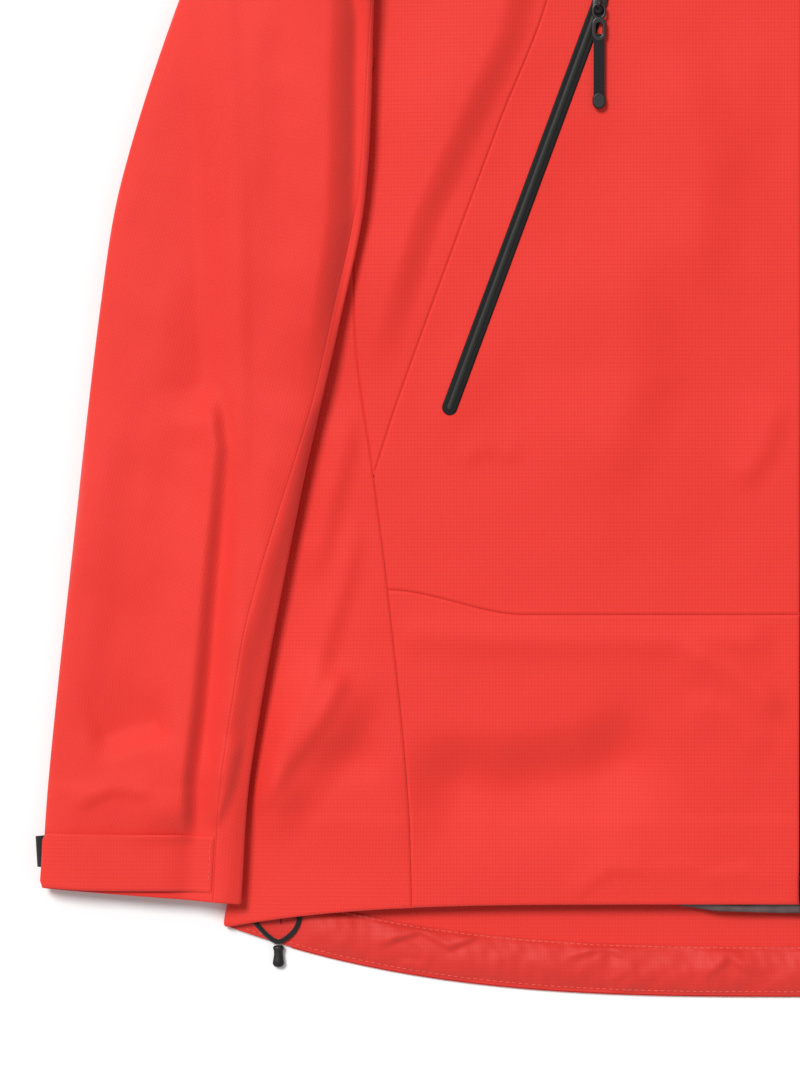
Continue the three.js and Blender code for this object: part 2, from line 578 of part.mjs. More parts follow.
function hoodCentre() {
  const outline = new THREE.Shape();
  const points = [];
  for (let i = 0; i <= HOOD_CENTRE_STEPS; i++) {
    const along = lerp(...HOOD_ENDS, i / HOOD_CENTRE_STEPS);
    const p = hoodPoint(along, HOOD_FLOOR + 2 * SEAM_INSET, 0);
    points.push(new THREE.Vector2(p.x, p.y));
  }
  outline.setFromPoints(points.reverse());
  return plate(outline, CLOTH);
}

add("collar_back", sheet(shy(collarBack), [4, 2]), shellCloth());
for (const { side, hand } of SIDES)
  add(`collar_front_${side}`, sheet(hand(shy(collarFront)), [12, 3]), shellCloth());
add("hood_centre_panel", hoodCentre(), shellCloth());
const hoodStretches = {
  hood_side_right: [HOOD_ENDS[0], CROWN[0]],
  hood_crown_panel: CROWN,
  hood_side_left: [CROWN[1], HOOD_ENDS[1]],
};
for (const [name, stretch] of Object.entries(hoodStretches))
  add(name, sheet(shy(part(hoodWall, [0, 1], stretch)), [12, 8]), shellCloth());
add("hood_brim", sheet(brim, [4, 8], BRIM.thickness), shellCloth());
add("hanger_loop", tube(HANGER_ROUTE, HANGER_R, 18), blackTrim());

// ---- Main zip ------------------------------------------------------------------------------------
// A straight strip under the front along the zip, between x = a and x = b, a depth below the front.
const zipStrip = (a, b, bottom, top, depth) => (u, v) => {
  const y = lerp(bottom, top, v);
  return at(lerp(a, b, u), y, crest(y) - depth);
};
const tapeDepth = CLOTH + GAP;
const coilDepth = tapeDepth + FACING + GAP;
const flapDepth = coilDepth + COIL_HEIGHT + GAP;

for (const { side, hand } of SIDES) {
  const strip = zipStrip(-TAPE_HALF, -GAP, ZIP_BOTTOM_Y, ZIP_TOP_Y, tapeDepth);
  add(`main_zip_tape_${side}`, sheet(hand(strip), [1, 1], FACING), blackTrim());
}
const coil = zipStrip(-COIL_HALF, COIL_HALF, ZIP_BOTTOM_Y, ZIP_TOP_Y, coilDepth);
add("main_zip_coil", sheet(coil, [1, 1], COIL_HEIGHT), blackTrim());
const flap = zipStrip(-FLAP_HALF, FLAP_HALF, ZIP_BOTTOM_Y, ZIP_TOP_Y, flapDepth);
add("wind_flap", sheet(flap, [1, 1], FACING), greyTape());

// ---- Sliders and pulls ---------------------------------------------------------------------------
// A slider: a rounded plate with a hoop on top, whose hole runs along X, centred on the pull's pivot.
function sliderGeometry(width, length) {
  const eye = PIVOT_RISE - HOOP.floor;
  const foot = -PIVOT_RISE - HOOP.footDepth;
  const base = plate(roundEnded(width, -length / 2, length / 2), SLIDER_PLATE);
  const profile = new THREE.Shape().moveTo(-HOOP.footHalf, foot).lineTo(HOOP.footHalf, foot);
  profile.absarc(0, 0, eye + HOOP.wall, 0, Math.PI, false).closePath();
  profile.holes.push(new THREE.Path().absarc(0, 0, eye, 0, 2 * Math.PI, true));
  const hoop = plate(profile, HOOP.width, 6).translate(0, 0, -HOOP.width / 2);
  hoop.rotateX(Math.PI / 2).rotateZ(Math.PI / 2);
  return join(base.translate(0, 0, -PIVOT_RISE - SLIDER_PLATE), hoop);
}

// A pull that hangs along -Y from its pivot: a ring, a tab with an oval eye, webbing and a moulded tip.
function pullGeometry(length) {
  const ring = roundEnded(RING.width, RING.bottom, RING_BAR / 2);
  ring.holes.push(roundEnded(RING.hole, RING.holeBottom, -RING_BAR / 2, THREE.Path));
  const eye = roundEnded(EYE.width, EYE.bottom, EYE.top);
  eye.holes.push(roundEnded(EYE.hole, EYE.holeBottom, EYE.holeTop, THREE.Path));
  const webbing = roundEnded(WEBBING.width, -length + WEBBING.tipInset, WEBBING.top);
  const tip = roundEnded(TIP.width, -length, -length + TIP.length);
  const flat = (outline, thickness) => plate(outline, thickness).translate(0, 0, -thickness / 2);
  const tab = join(flat(ring, RING_BAR), flat(eye, RING_BAR));
  return join(join(tab, flat(webbing, RING_BAR)), flat(tip, PULL_THICKNESS));
}

// A place on the front where Y runs along a zip turned by an angle from the jacket's Y.
function onFront(x, y, angle, rise) {
  const along = at(Math.sin(angle), Math.cos(angle), 0);
  along.z = frontZ(x + along.x, y + along.y) - frontZ(x, y);
  const across = at(along.y, -along.x, 0).normalize();
  const up = across.clone().cross(along).normalize();
  const basis = new THREE.Matrix4().makeBasis(across, along.normalize(), up);
  return basis.setPosition(at(x, y, frontZ(x, y)).addScaledVector(up, rise));
}

function addSlider(name, width, x, y, angle) {
  const slider = sliderGeometry(width, SLIDER_LENGTH);
  add(`${name}_slider`, slider.applyMatrix4(onFront(x, y, angle, PIVOT)), blackTrim());
}
function addPull(name, length, x, y) {
  add(`${name}_pull`, pullGeometry(length).applyMatrix4(onFront(x, y, 0, PIVOT)), blackTrim());
}

addSlider("main_zip_upper", MAIN_WIDTH, 0, UPPER_SLIDER_Y, 0);
addPull("main_zip_upper", PULL_LENGTH, 0, UPPER_SLIDER_Y);
addSlider("main_zip_lower", MAIN_WIDTH, 0, LOWER_SLIDER_Y, 0);
addPull("main_zip_lower", SHORT_PULL_LENGTH, 0, LOWER_SLIDER_Y);

// ---- Pockets -------------------------------------------------------------------------------------
function pocketStrip(u, v) {
  const length = (POCKET_TOP.y - POCKET_BOTTOM.y) / Math.cos(zipAngle);
  const inward = Math.min(1, STRIP_ROUND * v, STRIP_ROUND * (1 - v));
  const end = (POCKET_STRIP / 2) * (1 - Math.sqrt(1 - (1 - inward) ** 2));
  const side = lerp(-POCKET_STRIP / 2 + end, POCKET_STRIP / 2 - end, u);
  const x = POCKET_BOTTOM.x + Math.sin(zipAngle) * length * v + Math.cos(zipAngle) * side;
  const y = POCKET_BOTTOM.y + Math.cos(zipAngle) * length * v - Math.sin(zipAngle) * side;
  return at(x, y, frontZ(x, y) - STRIP_SINK);
}
function pocketBag(u, v) {
  const y = lerp(BAG.bottomY, BAG.topY, v);
  const x = lerp(zipX(y) - BAG.margin, BAG.innerX, u);
  const deepen = (share) => smooth(0, POCKET_RIM, Math.min(share, 1 - share));
  const rim = deepen(u) * deepen(v);
  return at(x, y, frontZ(x, y) - CLOTH - GAP - POCKET_DEPTH * rim);
}
function garage(u, v) {
  const x = POCKET_TOP.x + GARAGE.size * (u - 0.5);
  const y = POCKET_TOP.y + GARAGE.size * v - GARAGE.below;
  return at(x, y, frontZ(x, y) + GAP + FACING);
}

const sliderX = zipX(POCKET_SLIDER_Y);
for (const { side, sign, hand } of SIDES) {
  add(`pocket_zip_strip_${side}`, sheet(hand(pocketStrip), [1, 12], CLOTH), blackTrim());
  add(`pocket_bag_${side}`, sheet(hand(pocketBag), [10, 10], FACING), shadeCloth());
  add(`pocket_zip_garage_${side}`, sheet(hand(garage), [2, 2], FACING), shellCloth());
  addSlider(`pocket_zip_${side}`, POCKET_WIDTH, sign * sliderX, POCKET_SLIDER_Y, sign * zipAngle);
  addPull(`pocket_zip_${side}`, PULL_LENGTH, sign * sliderX, POCKET_SLIDER_Y);
}

export default jacket;
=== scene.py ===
import math

import bmesh
import bpy
import numpy as np
from mathutils import Matrix, Vector


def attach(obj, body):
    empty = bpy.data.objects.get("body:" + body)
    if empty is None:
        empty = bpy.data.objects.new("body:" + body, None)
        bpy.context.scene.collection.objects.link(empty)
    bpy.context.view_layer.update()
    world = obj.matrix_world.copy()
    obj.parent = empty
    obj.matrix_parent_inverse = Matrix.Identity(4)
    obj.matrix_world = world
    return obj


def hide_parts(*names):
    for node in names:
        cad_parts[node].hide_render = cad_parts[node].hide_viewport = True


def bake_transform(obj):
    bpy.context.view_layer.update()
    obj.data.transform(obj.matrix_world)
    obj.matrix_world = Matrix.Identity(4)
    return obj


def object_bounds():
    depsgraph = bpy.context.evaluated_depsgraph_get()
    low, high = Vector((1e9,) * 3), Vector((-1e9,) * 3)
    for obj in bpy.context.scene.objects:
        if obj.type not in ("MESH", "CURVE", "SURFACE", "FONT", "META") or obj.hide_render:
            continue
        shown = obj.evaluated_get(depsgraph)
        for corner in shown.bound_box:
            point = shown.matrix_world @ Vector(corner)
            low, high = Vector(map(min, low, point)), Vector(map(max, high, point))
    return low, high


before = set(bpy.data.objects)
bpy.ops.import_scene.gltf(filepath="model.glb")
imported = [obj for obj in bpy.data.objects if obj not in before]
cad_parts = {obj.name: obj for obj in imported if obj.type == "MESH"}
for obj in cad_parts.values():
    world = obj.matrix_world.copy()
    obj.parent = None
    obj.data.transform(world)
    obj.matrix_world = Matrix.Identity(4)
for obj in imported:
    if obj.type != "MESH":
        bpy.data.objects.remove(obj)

cad_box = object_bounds()
MM = 0.001
SIDES = (("right", 1), ("left", -1))

# ---- Sizes shared with the CAD ---------------------------------------------------------------------
GAP = 0.35
HEM_HALF = 287
FRONT_HEM_Y = -483.5
BACK_HEM_Y = -530
CORNER_Y = -495
HEM_CREST = 12
CREST_SLOPE = 0.0257
CENTRE_HALF = 4
SHOULDER = (-214, 160)
NECK = (-84, 222)
NECK_FRONT_Y = 200
NECK_BACK_Y = 226
ARMPIT = (-209, 5)
ARMHOLE_BULGE = 15
SHOULDER_SLOPE = (NECK[1] - SHOULDER[1]) / (NECK[0] - SHOULDER[0])
SHOULDER_Z = 4
SEAM_C_Y = -341
SEAM_C_RISE = 12
SEAM_C_BEND = (140, 206)
JOIN_Y = -273
YOKE_Y = 70
SIDE_TOP_Y = -62
SIDE_FLOOR = 30
HEM_FACING_Y = -441
COLLAR_TOP_Y = 288
COLLAR_HALF = 96
COLLAR_BACK_HALF = 50
HOOD_BOTTOM_Y = 290
HOOD_RIM = 34
HOOD_FLOOR = 36
SLEEVE_THICKNESS = 18
CUFF_THICKNESS = 14
CUFF_FACING_Y = -429
CUFF_TOP_Y = -450
CUFF_END_Y = -483
POCKET_TOP = (-98.5, -31)
POCKET_BOTTOM = (-177, -243)
POCKET_SLIDER_Y = -43
POCKET_STRIP = 7.4
UPPER_SLIDER_Y = 276
LOWER_SLIDER_Y = -472
PIVOT_RISE = 3.4
PULL_LENGTH = 51
SHORT_PULL_LENGTH = 24
ELASTIC_R = 1.25

# ---- Sizes of the looks ----------------------------------------------------------------------------
LAMINATE = 0.5
FLOOR_CLOTH = 1.2
GRID = 2.6
RIM_STEPS = (0, 0.35, 0.75, 1.2, 1.8, 2.6, 3.8)
SEAM_ROLL = 0.6
SEAM_ROLL_WIDTH = 0.6
FLOOR_SHARE = 1 / 6


# ---- Lines of the jacket ---------------------------------------------------------------------------
def smooth(a, b, x):
    t = np.clip((x - a) / (b - a), 0, 1)
    return t * t * (3 - 2 * t)


def lerp(a, b, t):
    return a + (b - a) * t


def hump(t):
    """0 at both ends and 1 halfway."""
    return 4 * t * (1 - t)


def seam_line(*points):
    """A smooth line through (x, y) points in rising order of y, read as x at a height y."""
    xs, ys = np.array(points, float).T
    low, high = np.maximum(np.arange(len(xs)) - 1, 0), np.minimum(np.arange(len(xs)) + 1, len(xs) - 1)
    slope = (xs[high] - xs[low]) / (ys[high] - ys[low])

    def x_at(height):
        y = np.clip(height, ys[0], ys[-1])
        i = np.clip(np.searchsorted(ys, y, side="right") - 1, 0, len(ys) - 2)
        h = ys[i + 1] - ys[i]
        t = (y - ys[i]) / h
        bend = h * t * (1 - t) * ((1 - t) * slope[i] - t * slope[i + 1])
        return lerp(xs[i], xs[i + 1], t * t * (3 - 2 * t)) + bend

    return x_at


side_seam = seam_line(
    (-194, -490), (-196, -430), (-206, -329), (-213, JOIN_Y), (-222, -204), (-222, -120), (-211, -58), ARMPIT
)
front_seam = seam_line(
    (-213, JOIN_Y), (-200, -233), (-152, -102), (-128, -40), (-110, 50), (-108, 130), (-122, 204)
)
sleeve_outer = seam_line(
    (-377, CUFF_END_Y), (-373, -422), (-361, -309), (-347, -187), (-337, -128), (-309, -40), (-276, 38),
    (-250, 100), SHOULDER,
)
sleeve_inner = seam_line(
    (-278, CUFF_END_Y), (-273, -417), (-249, -285), (-230, -201), (-217, -138), (-212, -40), ARMPIT
)


def back_hem_y(x):
    return BACK_HEM_Y + (CORNER_Y - BACK_HEM_Y) * np.abs(x / HEM_HALF) ** 3


def front_hem_y(x):
    return FRONT_HEM_Y + (CORNER_Y - FRONT_HEM_Y) * np.abs(x / HEM_HALF) ** 5


def seam_c_y(x):
    return SEAM_C_Y + SEAM_C_RISE * smooth(*SEAM_C_BEND, np.abs(x))


def shoulder_y(x):
    return NECK[1] + (-np.abs(x) - NECK[0]) * SHOULDER_SLOPE


def front_top_y(x):
    across = np.abs(x / NECK[0])
    return np.where(across < 1, lerp(NECK_FRONT_Y, NECK[1], np.minimum(across, 1) ** 2.5), shoulder_y(x))


def armhole(y):
    t = np.clip((y - ARMPIT[1]) / (SHOULDER[1] - ARMPIT[1]), 0, 1)
    return lerp(ARMPIT[0], SHOULDER[0], t) + ARMHOLE_BULGE * hump(t)


# ---- Heights ---------------------------------------------------------------------------------------
BODY_HALF = 283
WAIST = 8
WAIST_LOW_Y = -480
WAIST_LENGTH = 440
HEM_FLARE = 4
HEM_FLARE_Y = -470
FOLD_RADII = (3, 5.5)
FOLD_LENGTH = 450
FRONT_SQUARENESS = 6
SHOULDER_FALL = 42
SHOULDER_BAND = (68, 110)


def side_half(y):
    waist = WAIST * np.sin(np.pi * np.clip((y - WAIST_LOW_Y) / WAIST_LENGTH, 0, 1))
    return BODY_HALF - waist + HEM_FLARE * smooth(HEM_FLARE_Y, CORNER_Y, y)


def fold_radius(y):
    return lerp(*FOLD_RADII, np.clip((y - CORNER_Y) / FOLD_LENGTH, 0, 1))


def crest(y):
    return HEM_CREST + (y - FRONT_HEM_Y) * CREST_SLOPE


def front_z(x, y):
    """The front without its folds: level across the middle, down to the side folds and the shoulders."""
    low = 2 * fold_radius(y)
    across = np.minimum(1, np.abs(x) / (side_half(y) - fold_radius(y)))
    body = low + (crest(y) - low) * (1 - across**FRONT_SQUARENESS)
    reach = np.clip((front_top_y(x) - y) / SHOULDER_FALL, 0, 1)
    shoulder = SHOULDER_Z + (body - SHOULDER_Z) * np.sin(reach * np.pi / 2)
    return lerp(body, shoulder, smooth(*SHOULDER_BAND, np.abs(x)))


# ---- Folds in the cloth ----------------------------------------------------------------------------
HEM_STEP = 0.45
HEM_STEP_HALF = 1.2
SIDE_CALM = (2, 22)
HEM_CALM = 0.35
HEM_CALM_REACH = 40
CENTRE_CALM = 0.2
CENTRE_CALM_REACH = 22
ZIP_CALM = 0.9
ZIP_CALM_REACH = 13


def passed(path):
    """The length along a path of points up to each of them."""
    return np.concatenate([[0], np.cumsum(np.linalg.norm(np.diff(path, axis=0), axis=1))])


def nearest(points, x, y):
    """Signed distance to a line of points, positive on its left, and the share of its length passed there."""
    points = np.array(points, float)
    starts = passed(points)
    best = np.full(np.shape(x), np.inf)
    side = np.ones(np.shape(x))
    share = np.zeros(np.shape(x))
    for (px, py), (sx, sy), length, start in zip(points, np.diff(points, axis=0), np.diff(starts), starts):
        t = np.clip(((x - px) * sx + (y - py) * sy) / length**2, 0, 1)
        dx, dy = x - px - t * sx, y - py - t * sy
        near = np.hypot(dx, dy)
        closer = near < best
        best = np.where(closer, near, best)
        side = np.where(closer, np.where(sx * dy - sy * dx >= 0, 1, -1), side)
        share = np.where(closer, (start + t * length) / starts[-1], share)
    return best * side, share


def fading(share, ends):
    return smooth(0, ends, share) * smooth(1, 1 - ends, share)


def ledge(points, drop, width, reach, ends=0.25):
    """The cloth left of a line stands up by drop, falls away across width, and levels out over reach."""

    def height(x, y):
        d, share = nearest(points, x, y)
        level = np.exp(-((np.maximum(d, 0) / reach) ** 2))
        return drop * fading(share, ends) * smooth(-width, width, d) * level

    return height


def hollow(points, depth, width, ends=0.25):
    """A round valley along a line, or a ridge where depth is below zero."""

    def height(x, y):
        d, share = nearest(points, x, y)
        return -depth * fading(share, ends) * np.exp(-((d / width) ** 2))

    return height


def ripples(seed, wavelength, height, count=9):
    """Soft irregular waves, the same on every run."""
    rng = np.random.default_rng(seed)
    angles = rng.uniform(0, 2 * np.pi, count)
    numbers = 2 * np.pi / (wavelength * rng.uniform(0.6, 1.6, count))
    phases = rng.uniform(0, 2 * np.pi, count)

    def wave(x, y):
        total = sum(
            np.sin(k * (x * np.cos(a) + y * np.sin(a)) + p) for a, k, p in zip(angles, numbers, phases)
        )
        return height * total / math.sqrt(count)

    return wave


def folds(*parts):
    return lambda x, y: sum(part(x, y) for part in parts)


FRONT_RIPPLES = (ripples(3, 90, 0.55), ripples(4, 34, 0.16))
front_folds_right = folds(
    *FRONT_RIPPLES,
    ledge([(-214, -236), (-187, -147), (-146, -60), (-128, 10), (-124, 60)], 5.2, 8, 34),
    ledge([(-262, -424), (-238, -370), (-224, -325), (-217, -288)], 2.4, 5, 12),
    ledge([(-272, -442), (-252, -414), (-236, -392), (-224, -368)], 3.4, 4, 14, 0.12),
    ledge([(-270, -458), (-246, -426), (-228, -400), (-212, -366)], 6.5, 12, 30, 0.3),
    hollow([(-262, -424), (-240, -414), (-204, -412)], 2.6, 12),
    ledge([(-240, -330), (-232, -292), (-224, -262), (-221, -236)], 3.0, 6, 16),
    ledge([(-72, -388), (-110, -408), (-150, -414), (-200, -408)], -8.5, 17, 36),
    hollow([(-204, -350), (-120, -354), (-14, -354)], -1.6, 8, 0.08),
    ledge([(-4, -388), (-34, -366), (-64, -352)], 3.0, 5, 14),
    ledge([(-14, -408), (-38, -386), (-60, -378)], 1.6, 6, 14),
    ledge([(-34, -284), (-18, -262), (-6, -236)], 2.0, 6, 18),
    ledge([(-46, -190), (-40, -120), (-58, -60)], 2.4, 14, 30),
    ledge([(-96, -290), (-72, -225), (-86, -150)], 2.4, 16, 34),
    ledge([(-118, -484), (-96, -468), (-74, -470)], 2.0, 3, 8),
    ledge([(-12, -474), (-30, -464), (-56, -470)], 1.6, 3, 8),
    ledge([(-40, -470), (-60, -462), (-86, -466)], 1.0, 3, 8),
    ledge([(-172, -268), (-156, -262), (-140, -268)], 1.0, 4, 12),
)
front_folds_left = folds(
    *FRONT_RIPPLES,
    ledge([(122, 70), (126, 10), (150, -66), (190, -150), (214, -240)], -3.6, 9, 30),
    ledge([(216, -300), (226, -340), (246, -384), (270, -430)], 3.0, 7, 18),
    ledge([(60, -380), (120, -404), (190, -412)], -4.2, 16, 32),
    hollow([(20, -354), (120, -354), (200, -350)], -1.6, 8, 0.08),
    ledge([(20, -236), (34, -262), (60, -296)], 2.0, 6, 18),
    ledge([(50, -60), (66, -130), (58, -200)], 2.4, 15, 32),
    ledge([(216, -250), (240, -300)], 2.2, 8, 20),
    ledge([(90, -290), (72, -230), (96, -160)], 2.0, 15, 30),
)


def hem_step(y):
    """The doubled cloth of the hem stands a little proud of the single cloth above it."""
    return HEM_STEP * smooth(HEM_FACING_Y + HEM_STEP_HALF, HEM_FACING_Y - HEM_STEP_HALF, y)


def shaped_front(x, y):
    """Outer face of the front, with folds that die away at its sides, hem, centre and pocket zips."""
    relief = np.where(x < 0, front_folds_right(x, y), front_folds_left(x, y))
    from_zip, _ = nearest([POCKET_BOTTOM, POCKET_TOP], -np.abs(x), y)
    relief = relief * (1 - ZIP_CALM * np.exp(-((from_zip / ZIP_CALM_REACH) ** 2)))
    side = smooth(side_half(y) - SIDE_CALM[0], side_half(y) - SIDE_CALM[1], np.abs(x))
    hem = lerp(HEM_CALM, 1, smooth(front_hem_y(x), front_hem_y(x) + HEM_CALM_REACH, y))
    centre = lerp(CENTRE_CALM, 1, smooth(CENTRE_HALF, CENTRE_CALM_REACH, np.abs(x)))
    return front_z(x, y) + relief * side * hem * centre + hem_step(y) * side


SLEEVE_RIPPLES = (ripples(11, 80, 0.6), ripples(12, 30, 0.15))
CREASE = [(-303, -456), (-303, -422), (-298, -383), (-292, -314), (-287, -260), (-291, -226)]
sleeve_folds_right = folds(
    *SLEEVE_RIPPLES,
    ledge([(-243, -236), (-230, -150), (-228, -50), (-234, 30)], 7.0, 7, 26),
    hollow([(-231, 20), (-221, -50), (-222, -150), (-236, -228)], 3.0, 4),
    ledge([(-288, -440), (-273, -360), (-260, -318), (-244, -272), (-233, -230)], 4.0, 6, 26, 0.1),
    ledge([(-272, -226), (-268, -150), (-262, -20)], 3.0, 10, 26),
    ledge([(-322, -352), (-310, -250), (-300, -150)], 3.0, 13, 34),
    ledge([(-352, -400), (-344, -330), (-332, -220)], 1.6, 9, 24),
    ledge(CREASE, 9.0, 4.2, 22, 0.1),
    hollow([(-297, -450), (-292, -383), (-286, -314), (-281, -262)], 1.6, 5),
    ledge([(-352, -410), (-330, -402), (-308, -398)], -5.0, 8, 22),
    ledge([(-362, -438), (-340, -428), (-318, -432)], 1.8, 4, 10),
    hollow([(-262, -240), (-270, -330), (-282, -420)], -1.4, 8),
    ledge([(-290, -448), (-282, -424), (-277, -398)], 3.0, 2.5, 10),
)
sleeve_folds_left = folds(
    *SLEEVE_RIPPLES,
    hollow([(234, 20), (232, -60), (236, -160), (246, -240)], 5.0, 10),
    ledge([(270, -40), (276, -150), (286, -240)], 3.0, 10, 26),
    ledge([(288, -240), (292, -300), (300, -370), (306, -440)], 5.0, 3, 24, 0.15),
    ledge([(316, -170), (330, -280), (338, -370)], 2.6, 13, 34),
    ledge([(352, -418), (330, -400), (308, -404)], -3.4, 9, 24),
)

# ---- Materials -------------------------------------------------------------------------------------
GRID_PITCH = (1.6, 2.0)
PLAIN_THREADS = (4, 5)
GRID_SHARPNESS = 4.0
GRID_SHADE = -0.22
GRID_HEIGHT = 0.7
GRID_DEPTH = 0.00015
CLOUD_SIZE = 9.0
CLOUD_SHADE = 0.5
SPECKLE_SIZE = 900.0
SPECKLE_SHADE = 0.35
LEAST_SHADE = 0.12
CRUMPLE_SIZE = 55.0
CRUMPLE_DEPTH = 0.002
WEAR_SIZE = 140.0
GRAIN_STRENGTH = 0.35
TAPE_DEPTH = 0.0003


def srgb(*rgb):
    return tuple((c / 255 / 12.92) if c <= 10 else (((c / 255) + 0.055) / 1.055) ** 2.4 for c in rgb) + (1.0,)


class Nodes:
    """Short names for building a node tree."""

    def __init__(self, name, roughness, specular=0.4, sheen=0.0):
        self.material = bpy.data.materials.new(name)
        self.material.use_nodes = True
        self.tree = self.material.node_tree
        self.shader = self.tree.nodes["Principled BSDF"]
        self.set("Roughness", roughness)
        self.set("Specular IOR Level", specular)
        self.set("Sheen Weight", sheen)

    def set(self, socket, value):
        self.shader.inputs[socket].default_value = value

    def feed(self, socket, value):
        """Links an output to a socket, or sets the socket to a constant."""
        if isinstance(value, bpy.types.NodeSocket):
            self.tree.links.new(value, socket)
        else:
            socket.default_value = value

    def paint(self, colour, normal):
        self.feed(self.shader.inputs["Base Color"], colour)
        self.feed(self.shader.inputs["Normal"], normal)
        return self.material

    def node(self, kind, **inputs):
        made = self.tree.nodes.new(kind)
        for key, value in inputs.items():
            self.feed(made.inputs[key.replace("_", " ")], value)
        return made

    def math(self, operation, *values):
        made = self.tree.nodes.new("ShaderNodeMath")
        made.operation = operation
        for socket, value in zip(made.inputs, values):
            self.feed(socket, value)
        return made.outputs[0]

    def place(self):
        return self.node("ShaderNodeTexCoord").outputs["Object"]

    def noise(self, vector, scale, detail=2.0):
        return self.node("ShaderNodeTexNoise", Vector=vector, Scale=scale, Detail=detail).outputs["Fac"]

    def blend(self, factor, colour_a, colour_b):
        made = self.tree.nodes.new("ShaderNodeMix")
        made.data_type = "RGBA"
        for index, value in ((0, factor), (6, colour_a), (7, colour_b)):
            self.feed(made.inputs[index], value)
        return made.outputs[2]

    def bump(self, height, strength, distance):
        return self.node("ShaderNodeBump", Height=height, Strength=strength, Distance=distance)

    def threads(self, coordinate, pitch):
        """Rounded threads a pitch apart, from 0 between them to 1 on top."""
        turn = self.math("MULTIPLY", coordinate, 2 * math.pi / (pitch * MM))
        return self.math("MULTIPLY_ADD", self.math("SINE", turn), 0.5, 0.5)


def cloth_material(name, lit, deep, roughness, grid=0.5):
    """Fine ripstop: a plain ground with a slightly raised, slightly deeper grid of double threads."""
    nodes = Nodes(name, roughness, 0.25, sheen=0.12)
    nodes.set("Sheen Roughness", 0.6)
    weave = nodes.node("ShaderNodeUVMap")
    weave.uv_map = "Weave"
    axes = nodes.node("ShaderNodeSeparateXYZ", Vector=weave.outputs[0]).outputs[:2]
    place = nodes.place()
    lines = [nodes.threads(axis, pitch) for axis, pitch in zip(axes, GRID_PITCH)]
    ripstop = nodes.math("POWER", nodes.math("MAXIMUM", *lines), GRID_SHARPNESS)
    plain = [nodes.threads(a, pitch / count) for a, pitch, count in zip(axes, GRID_PITCH, PLAIN_THREADS)]
    ground = nodes.math("MULTIPLY", *plain)
    cloud = nodes.noise(place, CLOUD_SIZE, 3.0)
    speckle = nodes.math("MULTIPLY", nodes.noise(place, SPECKLE_SIZE), SPECKLE_SHADE)
    shade = nodes.math("MULTIPLY_ADD", cloud, CLOUD_SHADE, speckle)
    shade = nodes.math("MULTIPLY_ADD", ripstop, GRID_SHADE, shade)
    colour = nodes.blend(nodes.math("ADD", shade, LEAST_SHADE), deep, lit)
    ground_height = nodes.math("MULTIPLY", ground, 1 - GRID_HEIGHT)
    fine = nodes.bump(nodes.math("MULTIPLY_ADD", ripstop, GRID_HEIGHT, ground_height), grid, GRID_DEPTH)
    crumple = nodes.bump(nodes.noise(place, CRUMPLE_SIZE, 3.0), 0.12, CRUMPLE_DEPTH)
    nodes.feed(crumple.inputs["Normal"], fine.outputs[0])
    return nodes.paint(colour, crumple.outputs[0])


def trim_material(name, dark, light, roughness, grain, depth, specular=0.4):
    """Soft plastic, paint or thread with a fine grain and slightly worn, paler patches."""
    nodes = Nodes(name, roughness, specular)
    place = nodes.place()
    wear = nodes.math("POWER", nodes.noise(place, WEAR_SIZE, 4.0), 2.0)
    rough = nodes.bump(nodes.noise(place, grain), GRAIN_STRENGTH, depth)
    return nodes.paint(nodes.blend(wear, dark, light), rough.outputs[0])


def woven_material(name, dark, light, pitch, roughness):
    """Narrow woven tape or braid, from object coordinates so that it needs no unwrapping."""
    nodes = Nodes(name, roughness, 0.3, sheen=0.2)
    x, y = nodes.node("ShaderNodeSeparateXYZ", Vector=nodes.place()).outputs[:2]
    slants = [nodes.threads(nodes.math(operation, x, y), pitch) for operation in ("ADD", "SUBTRACT")]
    weave = nodes.math("MULTIPLY", *slants)
    return nodes.paint(nodes.blend(weave, dark, light), nodes.bump(weave, 0.6, TAPE_DEPTH).outputs[0])


cloth = cloth_material("red_ripstop", srgb(243, 58, 46), srgb(221, 42, 33), 0.62)
lining = cloth_material("red_inner_face", srgb(231, 57, 46), srgb(208, 41, 33), 0.55, 0.35)
thread = trim_material("red_thread", srgb(236, 84, 70), srgb(250, 122, 104), 0.6, 3000.0, 0.0001)
laminate = trim_material("zip_laminate", srgb(9, 8, 8), srgb(16, 13, 13), 0.5, 900.0, 0.0002, 0.22)
zip_band = trim_material("zip_band", srgb(32, 32, 31), srgb(40, 40, 38), 0.5, 1400.0, 0.0001, 0.25)
paint = trim_material("slider_paint", srgb(24, 21, 21), srgb(44, 41, 40), 0.3, 700.0, 0.0001, 0.6)
rubber = trim_material("moulded_trim", srgb(26, 22, 22), srgb(42, 38, 37), 0.45, 1100.0, 0.0002)
webbing = woven_material("black_webbing", srgb(12, 10, 10), srgb(38, 34, 33), 0.9, 0.75)
braid = woven_material("elastic_braid", srgb(14, 12, 12), srgb(44, 38, 37), 0.8, 0.65)
napped = woven_material("hook_and_loop", srgb(26, 21, 21), srgb(48, 42, 40), 1.3, 0.85)
grey_tape = trim_material("grey_tape", srgb(84, 64, 63), srgb(126, 112, 110), 0.28, 500.0, 0.0003, 0.6)

# ---- Camera, floor and light -----------------------------------------------------------------------
VIEW_CENTRE = (-0.2, -0.3012)
VIEW_HEIGHT = 0.523
LENS = 135
SENSOR = 36
VIEW_LIFT = 0.016
KEY_FROM = (-0.65, 0.75, 1.6)
KEY_STRENGTH = 2.45
KEY_SPREAD = 20
FILL_STRENGTH = 0.42
FLOOR_REACH = 6.0
FLOOR_DROP = 0.0004
FLOOR_WHITE = (0.98, 0.98, 0.98, 1)


def add_object(name, data):
    made = bpy.data.objects.new(name, data)
    bpy.context.scene.collection.objects.link(made)
    return made


